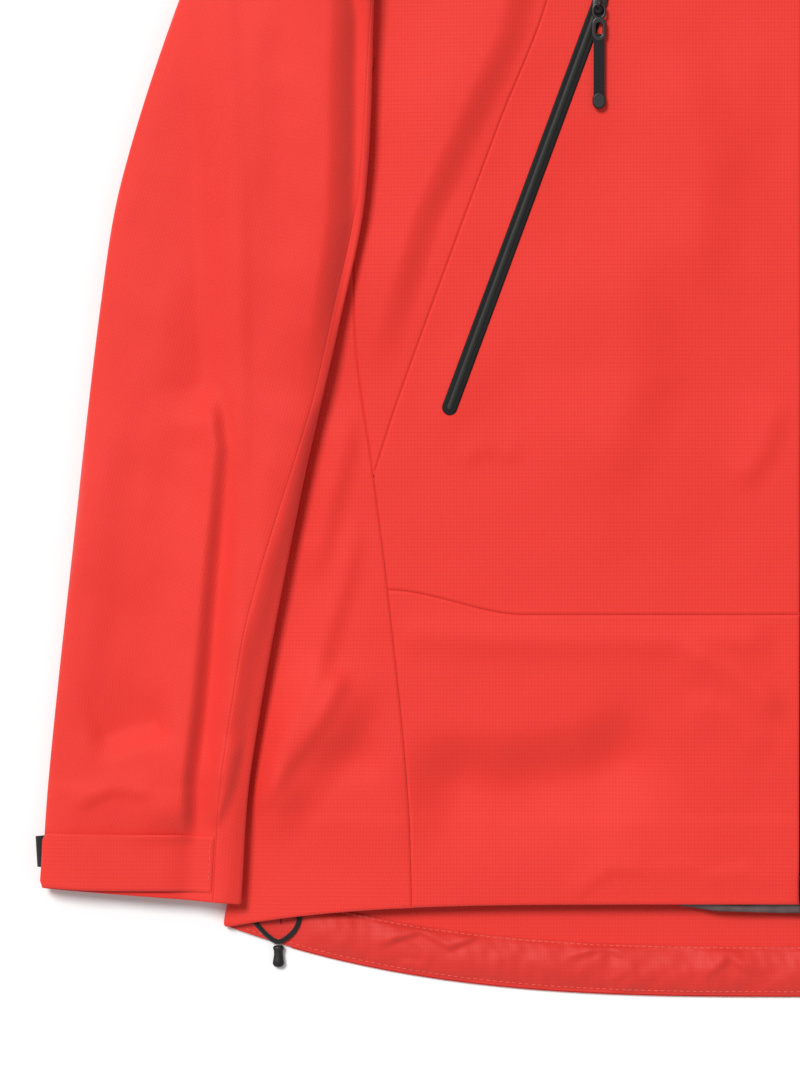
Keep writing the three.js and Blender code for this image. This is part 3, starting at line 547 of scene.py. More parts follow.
def add_camera():
    data = bpy.data.cameras.new("camera")
    data.lens, data.sensor_width = LENS, SENSOR
    camera = add_object("camera", data)
    camera.location = (*VIEW_CENTRE, VIEW_LIFT + VIEW_HEIGHT * LENS / SENSOR)
    bpy.context.scene.camera = camera


def add_key():
    """A broad soft key from above the jacket's upper right side, even over the whole of it."""
    data = bpy.data.lights.new("key", "SUN")
    data.energy, data.angle = KEY_STRENGTH, math.radians(KEY_SPREAD)
    light = add_object("key", data)
    light.location = KEY_FROM
    light.rotation_euler = Vector(KEY_FROM).to_track_quat("Z", "Y").to_euler()


def add_floor():
    mesh = bpy.data.meshes.new("floor")
    corners = [(x * FLOOR_REACH, y * FLOOR_REACH, 0) for x, y in ((-1, -1), (1, -1), (1, 1), (-1, 1))]
    mesh.from_pydata(corners, [], [(0, 1, 2, 3)])
    floor = add_object("floor", mesh)
    floor.location.z = cad_box[0].z - FLOOR_DROP
    nodes = Nodes("floor_paper", 0.9, 0.1)
    nodes.set("Base Color", FLOOR_WHITE)
    mesh.materials.append(nodes.material)


def add_studio():
    world = bpy.data.worlds.new("studio")
    bpy.context.scene.world = world
    world.use_nodes = True
    background = world.node_tree.nodes["Background"]
    background.inputs["Color"].default_value = (1, 1, 1, 1)
    background.inputs["Strength"].default_value = FILL_STRENGTH
    add_key()
    bpy.context.scene.view_settings.view_transform = "Standard"


# ---- Meshes ----------------------------------------------------------------------------------------
def add_piece(name, body, shape, material, replaces=(), weave=None):
    """Makes a mesh object from points in millimetres, rides it on its body and hides the CAD parts it stands
    for.
    """
    vertices, faces = shape
    mesh = bpy.data.meshes.new(name)
    mesh.from_pydata((np.asarray(vertices, float) * MM).tolist(), [], faces)
    mesh.materials.append(material)
    mesh.polygons.foreach_set("use_smooth", np.ones(len(mesh.polygons), bool))
    if weave is not None:
        layer = mesh.uv_layers.new(name="Weave")
        corner = np.zeros(len(mesh.loops), np.int32)
        mesh.loops.foreach_get("vertex_index", corner)
        layer.data.foreach_set("uv", (np.asarray(weave, float)[corner] * MM).ravel())
    piece = add_object(name, mesh)
    if body:
        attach(piece, body)
    if replaces:
        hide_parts(*replaces)
    return piece


def spaced(length, step=GRID):
    """Shares of a length: close together near both ends, where a seam edge rolls over, then a step apart."""
    rim = np.array([r for r in RIM_STEPS if r < length / 3])
    count = max(2, int((length - 2 * rim[-1]) / step) + 1)
    middle = np.linspace(rim[-1], length - rim[-1], count)[1:-1]
    return np.concatenate([rim, middle, length - rim[::-1]]) / length


def normals(grid):
    across = np.gradient(grid, axis=1)
    along = np.gradient(grid, axis=0)
    normal = np.cross(across, along)
    return normal / np.maximum(np.linalg.norm(normal, axis=2, keepdims=True), 1e-9)


def arc(grid, axis):
    """Length along the grid from its first line to each point."""
    steps = np.linalg.norm(np.diff(grid, axis=axis), axis=2)
    pad = [(1, 0), (0, 0)] if axis == 0 else [(0, 0), (1, 0)]
    return np.pad(np.cumsum(steps, axis=axis), pad)


def rolled(grid, edges, depth):
    """Presses a grid in along the edges named: u and U its first and last column, v and V its rows."""
    across, along = arc(grid, 1), arc(grid, 0)
    distances = {"u": across, "U": across[:, -1:] - across, "v": along, "V": along[-1:] - along}
    press = sum(np.exp(-((distances[edge] / SEAM_ROLL_WIDTH) ** 2)) for edge in edges)
    return grid - normals(grid) * (depth * np.minimum(press, 1))[..., None] if edges else grid


def shell_mesh(grid, thickness):
    """A closed thin shell: the grid is its outer face and the inner one lies a thickness behind it."""
    nv, nu = grid.shape[:2]
    vertices = np.concatenate([grid.reshape(-1, 3), (grid - normals(grid) * thickness).reshape(-1, 3)])
    number = np.arange(nu * nv).reshape(nv, nu)
    a, b, c, d = number[:-1, :-1], number[:-1, 1:], number[1:, 1:], number[1:, :-1]
    outer = np.stack([a, b, c, d], -1).reshape(-1, 4)
    behind = nu * nv
    rim = np.concatenate([number[0, :], number[1:, -1], number[-1, -2::-1], number[-2:0:-1, 0]])
    after = np.roll(rim, -1)
    walls = np.stack([rim + behind, after + behind, after, rim], -1)
    return vertices, np.concatenate([outer, outer[:, ::-1] + behind, walls]).tolist()


def skin(rings, sides, flip=False):
    """Faces over rings of points, closed at both ends. flip turns them over for rings that run clockwise."""
    number = np.arange(rings * sides).reshape(rings, sides)
    near, far = number, np.roll(number, -1, axis=1)
    ends = [number[0, ::-1], number[-1]]
    if flip:
        near, far = far, near
        ends = [end[::-1] for end in ends]
    walls = np.stack([near[:-1], far[:-1], far[1:], near[1:]], -1).reshape(-1, 4)
    return walls.tolist() + [end.tolist() for end in ends]


def circle(sides):
    """Columns of the cosine and sine of evenly spaced turns."""
    turns = 2 * np.pi * np.arange(sides)[:, None] / sides
    return np.cos(turns), np.sin(turns)


def unit(vector):
    return vector / np.linalg.norm(vector)


def at(path, along, where):
    """Points on a path at the places given, along being the place of each point of the path."""
    return np.stack([np.interp(where, along, column) for column in path.T], -1)


def tube_mesh(points, radius, sides=10):
    """A round tube along points in millimetres."""
    points = np.asarray(points, float)
    tangents = np.gradient(points, axis=0)
    upright = abs(unit(tangents[0])[2]) > 0.9
    reference = np.array((1.0, 0.0, 0.0) if upright else (0.0, 0.0, 1.0))
    c, s = circle(sides)
    rings = []
    for point, along in zip(points, tangents):
        across = unit(np.cross(along, reference))
        reference = unit(np.cross(across, along))
        rings.append(point + radius * (across * c + reference * s))
    return np.concatenate(rings), skin(len(points), sides)


def smooth_route(points, count, steps=12):
    """Points evenly along a smooth curve through the given ones, and its length."""
    points = np.asarray(points, float)
    padded = np.concatenate([[2 * points[0] - points[1]], points, [2 * points[-1] - points[-2]]])
    route = []
    for a, b, c, d in zip(padded, padded[1:], padded[2:], padded[3:]):
        for t in np.linspace(0, 1, steps, endpoint=False):
            square, cube = 2 * a - 5 * b + 4 * c - d, 3 * b - a - 3 * c + d
            route.append(0.5 * (2 * b + (c - a) * t + square * t**2 + cube * t**3))
    route = np.array(route + [points[-1]])
    along = passed(route)
    return at(route, along, np.linspace(0, along[-1], count)), along[-1]


def sheet_piece(node, body, grid, material=cloth, edges="uUvV", thickness=LAMINATE, weave=None,
                blend=None, roll=SEAM_ROLL, name=None):
    """One panel of cloth, rolled at its seams and made. It rides on its body; where blend is given it rides
    on none and its place is baked into the mesh.
    """
    axes = grid[..., :2] if weave is None else weave
    piece = add_piece(name or f"{node}_cloth", None if blend else body,
                      shell_mesh(rolled(grid, edges, roll), thickness), material, [node],
                      np.concatenate([axes.reshape(-1, 2)] * 2))
    if blend:
        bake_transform(piece)


def grid_of(surface, us, vs, sign=1):
    """Points of a surface (u, v) -> (x, y, z) drawn for the wearer's right, mirrored where sign is -1."""
    u, v = np.meshgrid(us, vs)
    grid = np.stack(np.broadcast_arrays(*surface(u, v)), -1).astype(float)
    return grid if sign > 0 else grid[:, ::-1] * np.array([-1, 1, 1])


def on_front(grid, rise=0.0):
    """Puts a grid at a rise above the front, on the folds of its own side."""
    grid[..., 2] = shaped_front(grid[..., 0], grid[..., 1]) + rise
    return grid


def wrapped(u, fold, r, floor_end, top_end, top_share=0.5):
    """Place across and height of a panel that runs out along the floor, round a fold and back over the top.
    fold is the place of the fold's axis, and the panel starts at floor_end and stops at top_end."""
    floor = np.clip(u / FLOOR_SHARE, 0, 1)
    turn = np.pi * np.clip((u - FLOOR_SHARE) / (1 - top_share - FLOOR_SHARE), 0, 1)
    top = np.clip((u - 1 + top_share) / top_share, 0, 1)
    across = fold - r * np.sin(turn) + (floor_end - fold) * (1 - floor) + (top_end - fold) * top
    return across, r - r * np.cos(turn)


# ---- Front, sides and back -------------------------------------------------------------------------
UNDER_SLEEVE = 14
UNDER_SLEEVE_START = (SIDE_TOP_Y - 8, SIDE_TOP_Y + 2)
UNDER_SLEEVE_END = (ARMPIT[1], ARMPIT[1] - 14)
SEAM_LAP = 0.3
HEM_SEAM_X = -194
SEAM_C_X = -206
NECK_SEAM_X = -122
FACING_INNER_X = -12
FACING_OUTER_X = -250
FACING_UNDER_SIDE = 60
SIDE_HEM_REACH = 90
SIDE_HEM_TURN = (0.3, 0.5)
BACK_CORNER_Y = -505


def constant(value):
    return lambda along: value + 0 * along


def front_piece(line_a, line_b, bottom, top):
    """A piece of the front between two lines x(y). bottom and top are (y(x), x at line a, x at line b)."""

    def surface(u, v):
        low = bottom[0](lerp(bottom[1], bottom[2], u))
        high = top[0](lerp(top[1], top[2], u))
        y = lerp(low, high, v)
        return lerp(line_a(y), line_b(y), u), y, 0

    return surface


def under_sleeve(y):
    """Above the side panel the front reaches on under the sleeve, so that no gap shows at the armpit."""
    return UNDER_SLEEVE * smooth(*UNDER_SLEEVE_START, y) * smooth(*UNDER_SLEEVE_END, y)


front_upper = front_piece(
    lambda y: np.where(y < JOIN_Y, side_seam(y), front_seam(y)), constant(-CENTRE_HALF),
    (seam_c_y, SEAM_C_X, -CENTRE_HALF), (front_top_y, NECK_SEAM_X, -CENTRE_HALF),
)
front_lower = front_piece(
    side_seam, constant(-CENTRE_HALF),
    (front_hem_y, HEM_SEAM_X, -CENTRE_HALF), (seam_c_y, SEAM_C_X, -CENTRE_HALF),
)
front_side = front_piece(
    lambda y: np.where(y < ARMPIT[1], side_seam(y) - under_sleeve(y), armhole(y)), front_seam,
    (constant(JOIN_Y + SEAM_LAP), 0, 0), (shoulder_y, SHOULDER[0], NECK_SEAM_X),
)
hem_facing = front_piece(
    lambda y: side_seam(y) - FACING_UNDER_SIDE, constant(FACING_INNER_X),
    (lambda x: front_hem_y(x) + SEAM_LAP, FACING_OUTER_X, FACING_INNER_X), (constant(HEM_FACING_Y), 0, 0),
)


def side_panel(u, v):
    """From the back seam on the floor, round the side fold, to the side seam on top."""
    top_hem = front_hem_y(-HEM_HALF + SIDE_HEM_REACH * np.maximum(2 * u - 1, 0))
    hem = lerp(back_hem_y(-HEM_HALF), top_hem, smooth(*SIDE_HEM_TURN, u))
    y = lerp(hem, SIDE_TOP_Y, v)
    r = fold_radius(y)
    c = side_half(y) - r
    x, z = wrapped(u, -c, r, SIDE_FLOOR - c, side_seam(y))
    return x, y, z


def back_half(y):
    low = lerp(side_half(y) - fold_radius(y) - SIDE_FLOOR, -ARMPIT[0], smooth(SIDE_TOP_Y, ARMPIT[1], y))
    return np.where(y > ARMPIT[1], -armhole(y), low)


def back_piece(bottom, top):
    """A piece of the back, flat on the floor, with its inner face up, between two lines y(share across)."""

    def surface(u, v):
        spread = lerp(1, -1, u)
        y = lerp(bottom(spread), top(spread), v)
        return spread * back_half(y), y, 0

    return surface


def yoke_top(spread):
    x = spread * SHOULDER[0]
    return np.where(np.abs(x) < -NECK[0], NECK_BACK_Y, shoulder_y(x))


back_corner = back_half(BACK_CORNER_Y)
back_panel = back_piece(lambda spread: back_hem_y(spread * back_corner), constant(YOKE_Y))
back_yoke = back_piece(constant(YOKE_Y), yoke_top)


def build_body():
    fronts = (
        ("front_upper_panel", front_upper, 200, 520),
        ("front_lower_panel", front_lower, 200, 142),
        ("front_side_panel", front_side, 100, 430),
    )
    for side, sign in SIDES:
        for name, surface, width, height in fronts:
            grid = on_front(grid_of(surface, spaced(width), spaced(height), sign))
            sheet_piece(f"{name}_{side}", "shell", grid)
        us = spaced(130)
        grid = grid_of(side_panel, us, spaced(425), sign)
        top = (us > 0.5)[::sign]
        grid[:, top] = on_front(grid[:, top])
        sheet_piece(f"side_panel_{side}", "shell", grid, weave=np.stack([arc(grid, 1), grid[..., 1]], -1))
    grid = grid_of(back_panel, spaced(500, 4), spaced(560, 4))
    sheet_piece("back_panel", "shell", grid, edges="uUV", thickness=FLOOR_CLOTH)
    grid = grid_of(back_yoke, spaced(420, 5), spaced(140, 5))
    sheet_piece("back_yoke", "shell", grid, thickness=FLOOR_CLOTH)


# ---- Hems ------------------------------------------------------------------------------------------
TUNNEL = 25
TUNNEL_HALF = 238
TUNNEL_RISE = 3.2
TUNNEL_END_RISE = 0.35
FACING_HALVES = (284, 262)
FACING_EDGE = 0.6
FACING_Z = 2.0
DEEPEST_GATHER = -0.8
LOOP_X = 256
LOOP_HALF = 12
LOOP_PRESS = 0.9
STITCH = 2.3
STITCH_GAP = 0.9
STITCH_R = 0.22
STITCH_SIDES = 5
STITCH_ROWS = (("hem_edge_stitches", 2.6), ("hem_tunnel_stitches", TUNNEL - 0.8))
STITCH_ROW_HALF = 276
STITCH_RISE = 0.12
UNDER_FRONT = -0.9
PULL_X = -260
PULL_Z = 2.3
CENTRE_TAPE_X = (-62, -3)
CENTRE_TAPE_Y = (-487.2, -480)
CENTRE_TAPE_DROP = 3.2
CENTRE_TAPE_WAVE = 0.5

back_pucker = folds(
    ripples(21, 26, 0.5), ripples(22, 9, 0.2),
    ledge([(-166, -500), (-158, -492), (-146, -496)], 2.0, 2.4, 7),
    ledge([(-214, -506), (-190, -498), (-176, -506), (-154, -498)], 2.2, 2, 7),
    hollow([(-206, -502), (-186, -512)], 1.4, 4),
    ledge([(-50, -522), (-38, -511), (-26, -520)], 2.0, 2.6, 8),
    ledge([(-120, -512), (-98, -506), (-84, -514)], 1.6, 2, 8),
    hollow([(-30, -528), (-10, -514)], 1.0, 4),
    hollow([(-100, -508), (-92, -520)], 0.8, 4),
    hollow([(120, -526), (132, -508)], 1.4, 4),
    hollow([(40, -528), (60, -512)], -1.2, 4),
    hollow([(190, -515), (210, -500)], 1.0, 4),
)


def back_facing(u, v):
    """The tunnel of the back hem, as seen from inside the jacket."""
    x = lerp(-1, 1, u) * lerp(*FACING_HALVES, v)
    y = back_hem_y(x) + lerp(FACING_EDGE, TUNNEL, v)
    free = smooth(0.0, 0.14, v) * smooth(1.0, 0.9, v)
    side = smooth(HEM_HALF, TUNNEL_HALF, np.abs(x))
    puff = TUNNEL_RISE * np.sin(np.pi * v) * lerp(TUNNEL_END_RISE, 1, side)
    beside_loop = 1 - LOOP_PRESS * np.exp(-(((np.abs(x) - LOOP_X) / LOOP_HALF) ** 2))
    gather = np.maximum(back_pucker(x, y), DEEPEST_GATHER)
    return x, y, FACING_Z + free * beside_loop * (puff + gather * side)


def stitches(name, body, path):
    """A row of short round stitches along a path of points in millimetres, as one mesh."""
    along = passed(path)
    swell = np.array([0.35, 1, 1, 0.35])[:, None, None]
    c, s = circle(STITCH_SIDES)
    one_stitch = skin(len(swell), STITCH_SIDES, flip=True)
    vertices, faces = [], []
    for start in np.arange(0, along[-1] - STITCH, STITCH + STITCH_GAP):
        centres = at(path, along, start + STITCH * np.array([0, 0.25, 0.75, 1]))
        run = centres[-1] - centres[0]
        across = unit(np.cross(run, (0, 0, 1)))
        up = np.cross(across, unit(run))
        faces += [[corner + len(vertices) for corner in face] for face in one_stitch]
        vertices.extend((centres[:, None] + STITCH_R * swell * (across * c + up * s)).reshape(-1, 3))
    add_piece(name, body, (vertices, faces), thread)


HEM_LOOP = (
    (-273, -474, 3.6), (-272.5, -490, 3.6), (-268, -497, 3.2), (-263, -501.5, 3), (-260, -502.6, 2.8),
    (-257, -501.5, 3), (-252, -497, 3.2), (-249.5, -490, 3.6), (-249, -474, 3.6),
)


def build_hem_loop(side, sign):
    route, length = smooth_route([(sign * x, y, z) for x, y, z in HEM_LOOP], 40)
    loop = add_piece(f"hem_loop_{side}_cord", f"hem_pull_{side}", tube_mesh(route, ELASTIC_R, 12), braid,
                     [f"hem_loop_{side}"])


def build_hem_pull(side, sign, sides=20):
    """A moulded grip on the loop: a narrow neck, a waisted body and a rounded end."""
    stations = (
        (-504.6, 2.0, 1.5), (-505.6, 2.8, 1.8), (-507, 2.3, 1.6), (-509, 2.2, 1.5), (-511.5, 2.6, 1.65),
        (-513.5, 2.9, 1.75), (-514.8, 2.1, 1.4), (-515.2, 0.9, 0.7),
    )
    c, s = circle(sides)
    x = sign * PULL_X
    rings = [np.hstack([x + half * c, y + 0 * c, PULL_Z + tall * s]) for y, half, tall in stations]
    shape = np.concatenate(rings), skin(len(stations), sides)
    add_piece(f"hem_pull_{side}_moulded", f"hem_pull_{side}", shape, rubber, [f"hem_pull_{side}"])


def centre_tape(u, v):
    """The glossy end of the taped centre seam, which shows below the front hem beside the zip."""
    x = lerp(*CENTRE_TAPE_X, u)
    y = lerp(*CENTRE_TAPE_Y, v) + 2.6 * smooth(0.35, 0, u) - 0.8 * smooth(0.4, 1, u)
    return x, y, front_z(x, y) - CENTRE_TAPE_DROP - CENTRE_TAPE_WAVE * np.sin(9 * u + 4 * v)


def build_hems():
    grid = grid_of(back_facing, spaced(560, 1.6), spaced(26, 1.0))
    sheet_piece("back_hem_facing", "shell", grid, lining, "")
    xs = np.linspace(-STITCH_ROW_HALF, STITCH_ROW_HALF, 400)
    for name, rise in STITCH_ROWS:
        share = (rise - FACING_EDGE) / (TUNNEL - FACING_EDGE)
        x, y, z = back_facing((xs / lerp(*FACING_HALVES, share) + 1) / 2, share)
        stitches(name, "shell", np.stack([x, y, z + STITCH_RISE], -1))
    for side, sign in SIDES:
        grid = on_front(grid_of(hem_facing, spaced(240, 4), spaced(42, 4), sign), UNDER_FRONT)
        sheet_piece(f"front_hem_facing_{side}", "shell", grid, lining, "")
        tape = grid_of(centre_tape, np.linspace(0, 1, 60), np.linspace(0, 1, 6), sign)
        add_piece(f"centre_tape_{side}", "shell", shell_mesh(tape, LAMINATE), grey_tape)
        build_hem_pull(side, sign)
        build_hem_loop(side, sign)


# ---- Sleeves ---------------------------------------------------------------------------------------
SLEEVE_SEAM = (0.035, 0.14)
SLEEVE_SEAM_BEND = (0.48, 0.75)
UNDER_SEAM = 0.75
SLEEVE_START = -0.003
SLEEVE_HEAD = 0.06
SLEEVE_ROLL = 0.25
SLEEVE_BEND = 0.12
SLEEVE_BEND_WAY = (-0.6, -0.8)
SLEEVE_BEND_Z = 10
HEAD_TUCK = 0.8
HEAD_REACH = 0.2
CUFF_SLANT = 5
CUFF_FLARE = 2.5
CUFF_FLARE_START = 0.94
CUFF_CALM_START = 0.93
TAPER = (0.5, 1)
FOLD_EDGE = (0.02, 0.5)
STEP_SHARPNESS = 200
CUFF_CALM = 0.3
CUFF_STEP = 0.4
CUFF_INSET = 1.1
TUBE_ROUNDNESS = 0.7
LEAVES_BODY = 0.11
FOLDS_BEGIN = 0.12
TAB_ROOT = 0.15
TAB_TIP = 0.992
TAB_MARGIN = (4.5, 0.6)
TAB_DROOP = 1.6
TAB_THICKNESS = 0.9
TAB_STITCHES = 0.02
TAB_STITCH_ENDS = 6
TAB_STITCH_RISE = 0.1
TAB_LIFT = (0.7, 3.0)
LOOP_PATCH_LIFT = (0.4, 0.9)
HOOK_PATCH_LIFT = (0.4, 1.9)
CUFF_WEBBING = ((-371, -449, 12.8), (-375.5, -449.5, 12.2), (-379.2, -450, 9.8), (-378, -450.5, 6.4))
CUFF_WEBBING_WIDTH = 15


def turn_at(across):
    return np.arccos(1 - 2 * across) / (2 * np.pi)


def seam_turn(v):
    return turn_at(lerp(*SLEEVE_SEAM, smooth(*SLEEVE_SEAM_BEND, v)))


def v_at(y):
    return (y - ARMPIT[1]) / (CUFF_END_Y - ARMPIT[1])


def ground_z(x, y):
    half = side_half(y)
    return GAP + (front_z(x, y) + GAP) * (1 - smooth(half, half + 24, np.abs(x)))


def sleeve(turn, v, sign=1):
    """The sleeve as a flattened tube: turn 0 is its inner edge, 0.5 its outer edge, and v runs to the cuff.
    Its head tucks in under the cloth of the front along the armhole."""
    inner_y = lerp(ARMPIT[1], CUFF_END_Y, v)
    head_rise = (SHOULDER[1] - ARMPIT[1]) * (1 - v) ** 3
    outer_y = inner_y + head_rise + CUFF_SLANT * v + CUFF_FLARE * smooth(CUFF_FLARE_START, 1, v)
    across = (1 - np.cos(2 * np.pi * turn)) / 2
    cap = (ARMHOLE_BULGE * hump(across) - 1) * (1 - smooth(0, HEAD_REACH, v))
    x = lerp(sleeve_inner(inner_y), sleeve_outer(outer_y), across) + cap
    y = lerp(inner_y, outer_y, across)
    height = np.sin(2 * np.pi * turn)
    rounded = np.sign(height) * np.abs(height) ** TUBE_ROUNDNESS
    thick = lerp(SLEEVE_THICKNESS, CUFF_THICKNESS, smooth(*TAPER, v))
    rest = lerp(GAP, ground_z(x, y), smooth(0, LEAVES_BODY, v))
    relief = (sleeve_folds_right if sign > 0 else sleeve_folds_left)(sign * x, y)
    calm = lerp(CUFF_CALM, 1, smooth(1, CUFF_CALM_START, v))
    top = smooth(*FOLD_EDGE, height) * smooth(0, FOLDS_BEGIN, v) * calm
    step = CUFF_STEP * smooth(-0.5, 0.5, (v - v_at(CUFF_FACING_Y)) * STEP_SHARPNESS)
    tube = rest + thick / 2 * (1 + rounded) + (relief + step) * top
    head = (shaped_front(sign * x, y) - HEAD_TUCK) * (1 + rounded) / 2
    return x, y, lerp(head, tube, smooth(0, SLEEVE_HEAD, v))


def tab_grid(sign, lift, us, vs):
    """The cuff tab, or a patch of it, lying on the sleeve and drooping over its outer edge. lift is its
    height above the sleeve at the sewn end and at the free end."""

    def surface(u, v):
        round_end = lerp(0.7, 1, np.sqrt(1 - np.clip((u - 0.965) / 0.0352, 0, 1) ** 2))
        bottom = CUFF_END_Y + lerp(*TAB_MARGIN, smooth(0, 0.9, u))
        down = lerp(v_at(CUFF_TOP_Y - 3 * u), v_at(bottom), (v - 0.5) * round_end + 0.5)
        x, y, z = sleeve(turn_at(lerp(TAB_ROOT, TAB_TIP, u)), down, sign)
        return x - TAB_DROOP * smooth(0.9, 1, u), y, z + lerp(*lift, smooth(0.02, 0.3, u))

    return grid_of(surface, us, vs, sign)


def add_cuff_webbing(side, sign):
    """The end of the cuff's webbing, folded back round the outer edge of the sleeve beside the tab."""
    route, _ = smooth_route([(sign * x, y, z) for x, y, z in CUFF_WEBBING], 24)
    width = np.linspace(0, -CUFF_WEBBING_WIDTH, 16)[:, None, None]
    grid = route[None] + width * np.array([sign * -0.06, 1, 0])
    add_piece(f"cuff_webbing_{side}", f"sleeve_{side}", shell_mesh(grid[:, ::sign], 1.0), webbing)


def sleeve_grid(turn_of, us, vs, sign):
    """A part of the sleeve: turn_of(u, v) gives the turn, and v is already the sleeve's own."""
    return grid_of(lambda u, v: sleeve(turn_of(u, v), v, sign), us, vs, sign)


def sleeve_weave(grid, sign):
    return np.stack([arc(grid, 1) * sign, -arc(grid, 0)], -1)


def build_sleeve_tube(side, sign, body):
    start = Vector((sign * ARMPIT[0], ARMPIT[1], SLEEVE_BEND_Z)) * MM
    way = Vector((sign * SLEEVE_BEND_WAY[0], SLEEVE_BEND_WAY[1], 0))
    bend = ("shell", body, tuple(start), tuple(start + way * SLEEVE_BEND))
    vs = lerp(SLEEVE_START, 1, spaced(490, 2.0))
    for name, turn_of, us in (
        ("sleeve_upper", lambda u, v: lerp(seam_turn(v), UNDER_SEAM, u), spaced(190, 1.5)),
        ("sleeve_under", lambda u, v: lerp(UNDER_SEAM, 1 + seam_turn(v), u), spaced(90)),
    ):
        grid = sleeve_grid(turn_of, us, vs, sign)
        sheet_piece(f"{name}_{side}", body, grid, weave=sleeve_weave(grid, sign),
                    blend=bend, roll=SLEEVE_ROLL)
    facing_vs = np.linspace(v_at(CUFF_FACING_Y), 0.999, 26)
    facing = sleeve_grid(lambda u, v: u, np.linspace(0, 1, 160), facing_vs, sign)
    facing = facing - normals(facing) * CUFF_INSET
    sheet_piece(f"cuff_facing_{side}", body, facing, lining, "", weave=sleeve_weave(facing, sign))


def build_cuff(side, sign, body):
    tab_body = f"cuff_tab_{side}"
    loop_patch = tab_grid(sign, LOOP_PATCH_LIFT, np.linspace(0.3, 0.99, 80), np.linspace(0.08, 0.94, 20))
    sheet_piece(f"cuff_loop_patch_{side}", body, loop_patch, napped, "")
    hook_patch = tab_grid(sign, HOOK_PATCH_LIFT, np.linspace(0.66, 0.95, 40), np.linspace(0.1, 0.9, 20))
    sheet_piece(f"cuff_hook_patch_{side}", tab_body, hook_patch, napped, "")
    us = spaced(88, 1.2)
    tab = tab_grid(sign, TAB_LIFT, us, spaced(29, 1.2))
    sheet_piece(f"cuff_tab_{side}", tab_body, tab, thickness=TAB_THICKNESS)
    column = np.abs(us - TAB_STITCHES)[::sign].argmin()
    seam = tab[TAB_STITCH_ENDS:-TAB_STITCH_ENDS, column]
    stitches(f"cuff_tab_stitches_{side}", body, seam + np.array([0, 0, TAB_STITCH_RISE]))
    add_cuff_webbing(side, sign)


def build_sleeves():
    for side, sign in SIDES:
        build_sleeve_tube(side, sign, f"sleeve_{side}")
        build_cuff(side, sign, f"sleeve_{side}")


# ---- Collar and hood -------------------------------------------------------------------------------
HOOD_EDGE = (
    (-COLLAR_HALF, HOOD_BOTTOM_Y), (-97, 304), (-117, 348), (-126, 400), (-112, 464), (-66, 512), (0, 530),
    (66, 512), (112, 464), (126, 400), (117, 348), (97, 304), (COLLAR_HALF, HOOD_BOTTOM_Y),
)
HOOD_RADIUS = 12
HOOD_TOP_SHARE = 1 / 3
HOOD_PARTS = (
    ("hood_side_right", 0.0005, 0.4), ("hood_crown_panel", 0.4, 0.6), ("hood_side_left", 0.6, 0.9995)
)
HOOD_LAP = 6
HOOD_RIPPLE = 0.8
HOOD_CENTRE_ENDS = (0.004, 0.5)
HOOD_BEND = ("shell", "hood", (0, 0.286, 0.01), (0, 0.336, 0.01))
BRIM_ENDS = (0.34, 0.66)
BRIM_INSETS = (30, 34)
BRIM_SWELL = 14
BRIM_POINTEDNESS = 0.6
BRIM_RISE = 2.7
BRIM_CROWN = 1.2
BRIM_THICKNESS = 2.0
COLLAR_REACH = 1.7
COLLAR_RIPPLE = 0.5
HANGER = ((-27, 283), (-26, 268), (-18, 258), (0, 255), (18, 258), (26, 268), (27, 283))
HANGER_Z = 3
HANGER_R = 1.4

hood_ripples = folds(ripples(31, 60, 0.8), ripples(32, 22, 0.2))
hood_route, _ = smooth_route([(x, y, 0) for x, y in HOOD_EDGE], 241)
hood_shares = np.linspace(0, 1, len(hood_route))
hood_tangent = np.gradient(hood_route, axis=0)
hood_tangent /= np.linalg.norm(hood_tangent, axis=1)[:, None]


def hood_radius(along):
    return lerp(crest(COLLAR_TOP_Y) / 2, HOOD_RADIUS, np.sin(np.pi * along))


def hood_point(along, inset):
    place = at(hood_route, hood_shares, along)
    tangent = at(hood_tangent, hood_shares, along)
    return place[..., 0] + tangent[..., 1] * inset, place[..., 1] - tangent[..., 0] * inset


def hood_wall(u, v):
    """From the floor seam out to the edge, round the fold and back over to the face opening."""
    r = hood_radius(v)
    inset, z = wrapped(u, r, r, HOOD_FLOOR, HOOD_RIM, HOOD_TOP_SHARE)
    x, y = hood_point(v, inset)
    return x, y, z + hood_ripples(x, y) * smooth(0.5, 0.7, u) * HOOD_RIPPLE


def hood_brim(u, v):
    """A stiff crescent on top of the hood's rim, widest at its middle."""
    along = lerp(*BRIM_ENDS, v)
    swell = BRIM_SWELL * np.sin(np.pi * v) ** BRIM_POINTEDNESS
    x, y = hood_point(along, lerp(BRIM_INSETS[0] - swell, BRIM_INSETS[1] + swell, u))
    return x, y, 2 * hood_radius(along) + BRIM_RISE + BRIM_CROWN * np.sin(np.pi * v)


def hood_centre(u, v):
    """The middle of the hood's back, flat on the floor inside the wall's seam."""
    x, y = hood_point(lerp(*HOOD_CENTRE_ENDS, v), HOOD_FLOOR - HOOD_LAP)
    return lerp(x, -x, u), y, 2 * LAMINATE


def collar_back(u, v):
    return lerp(COLLAR_BACK_HALF, -COLLAR_BACK_HALF, u), lerp(NECK_BACK_Y, COLLAR_TOP_Y, v), 0


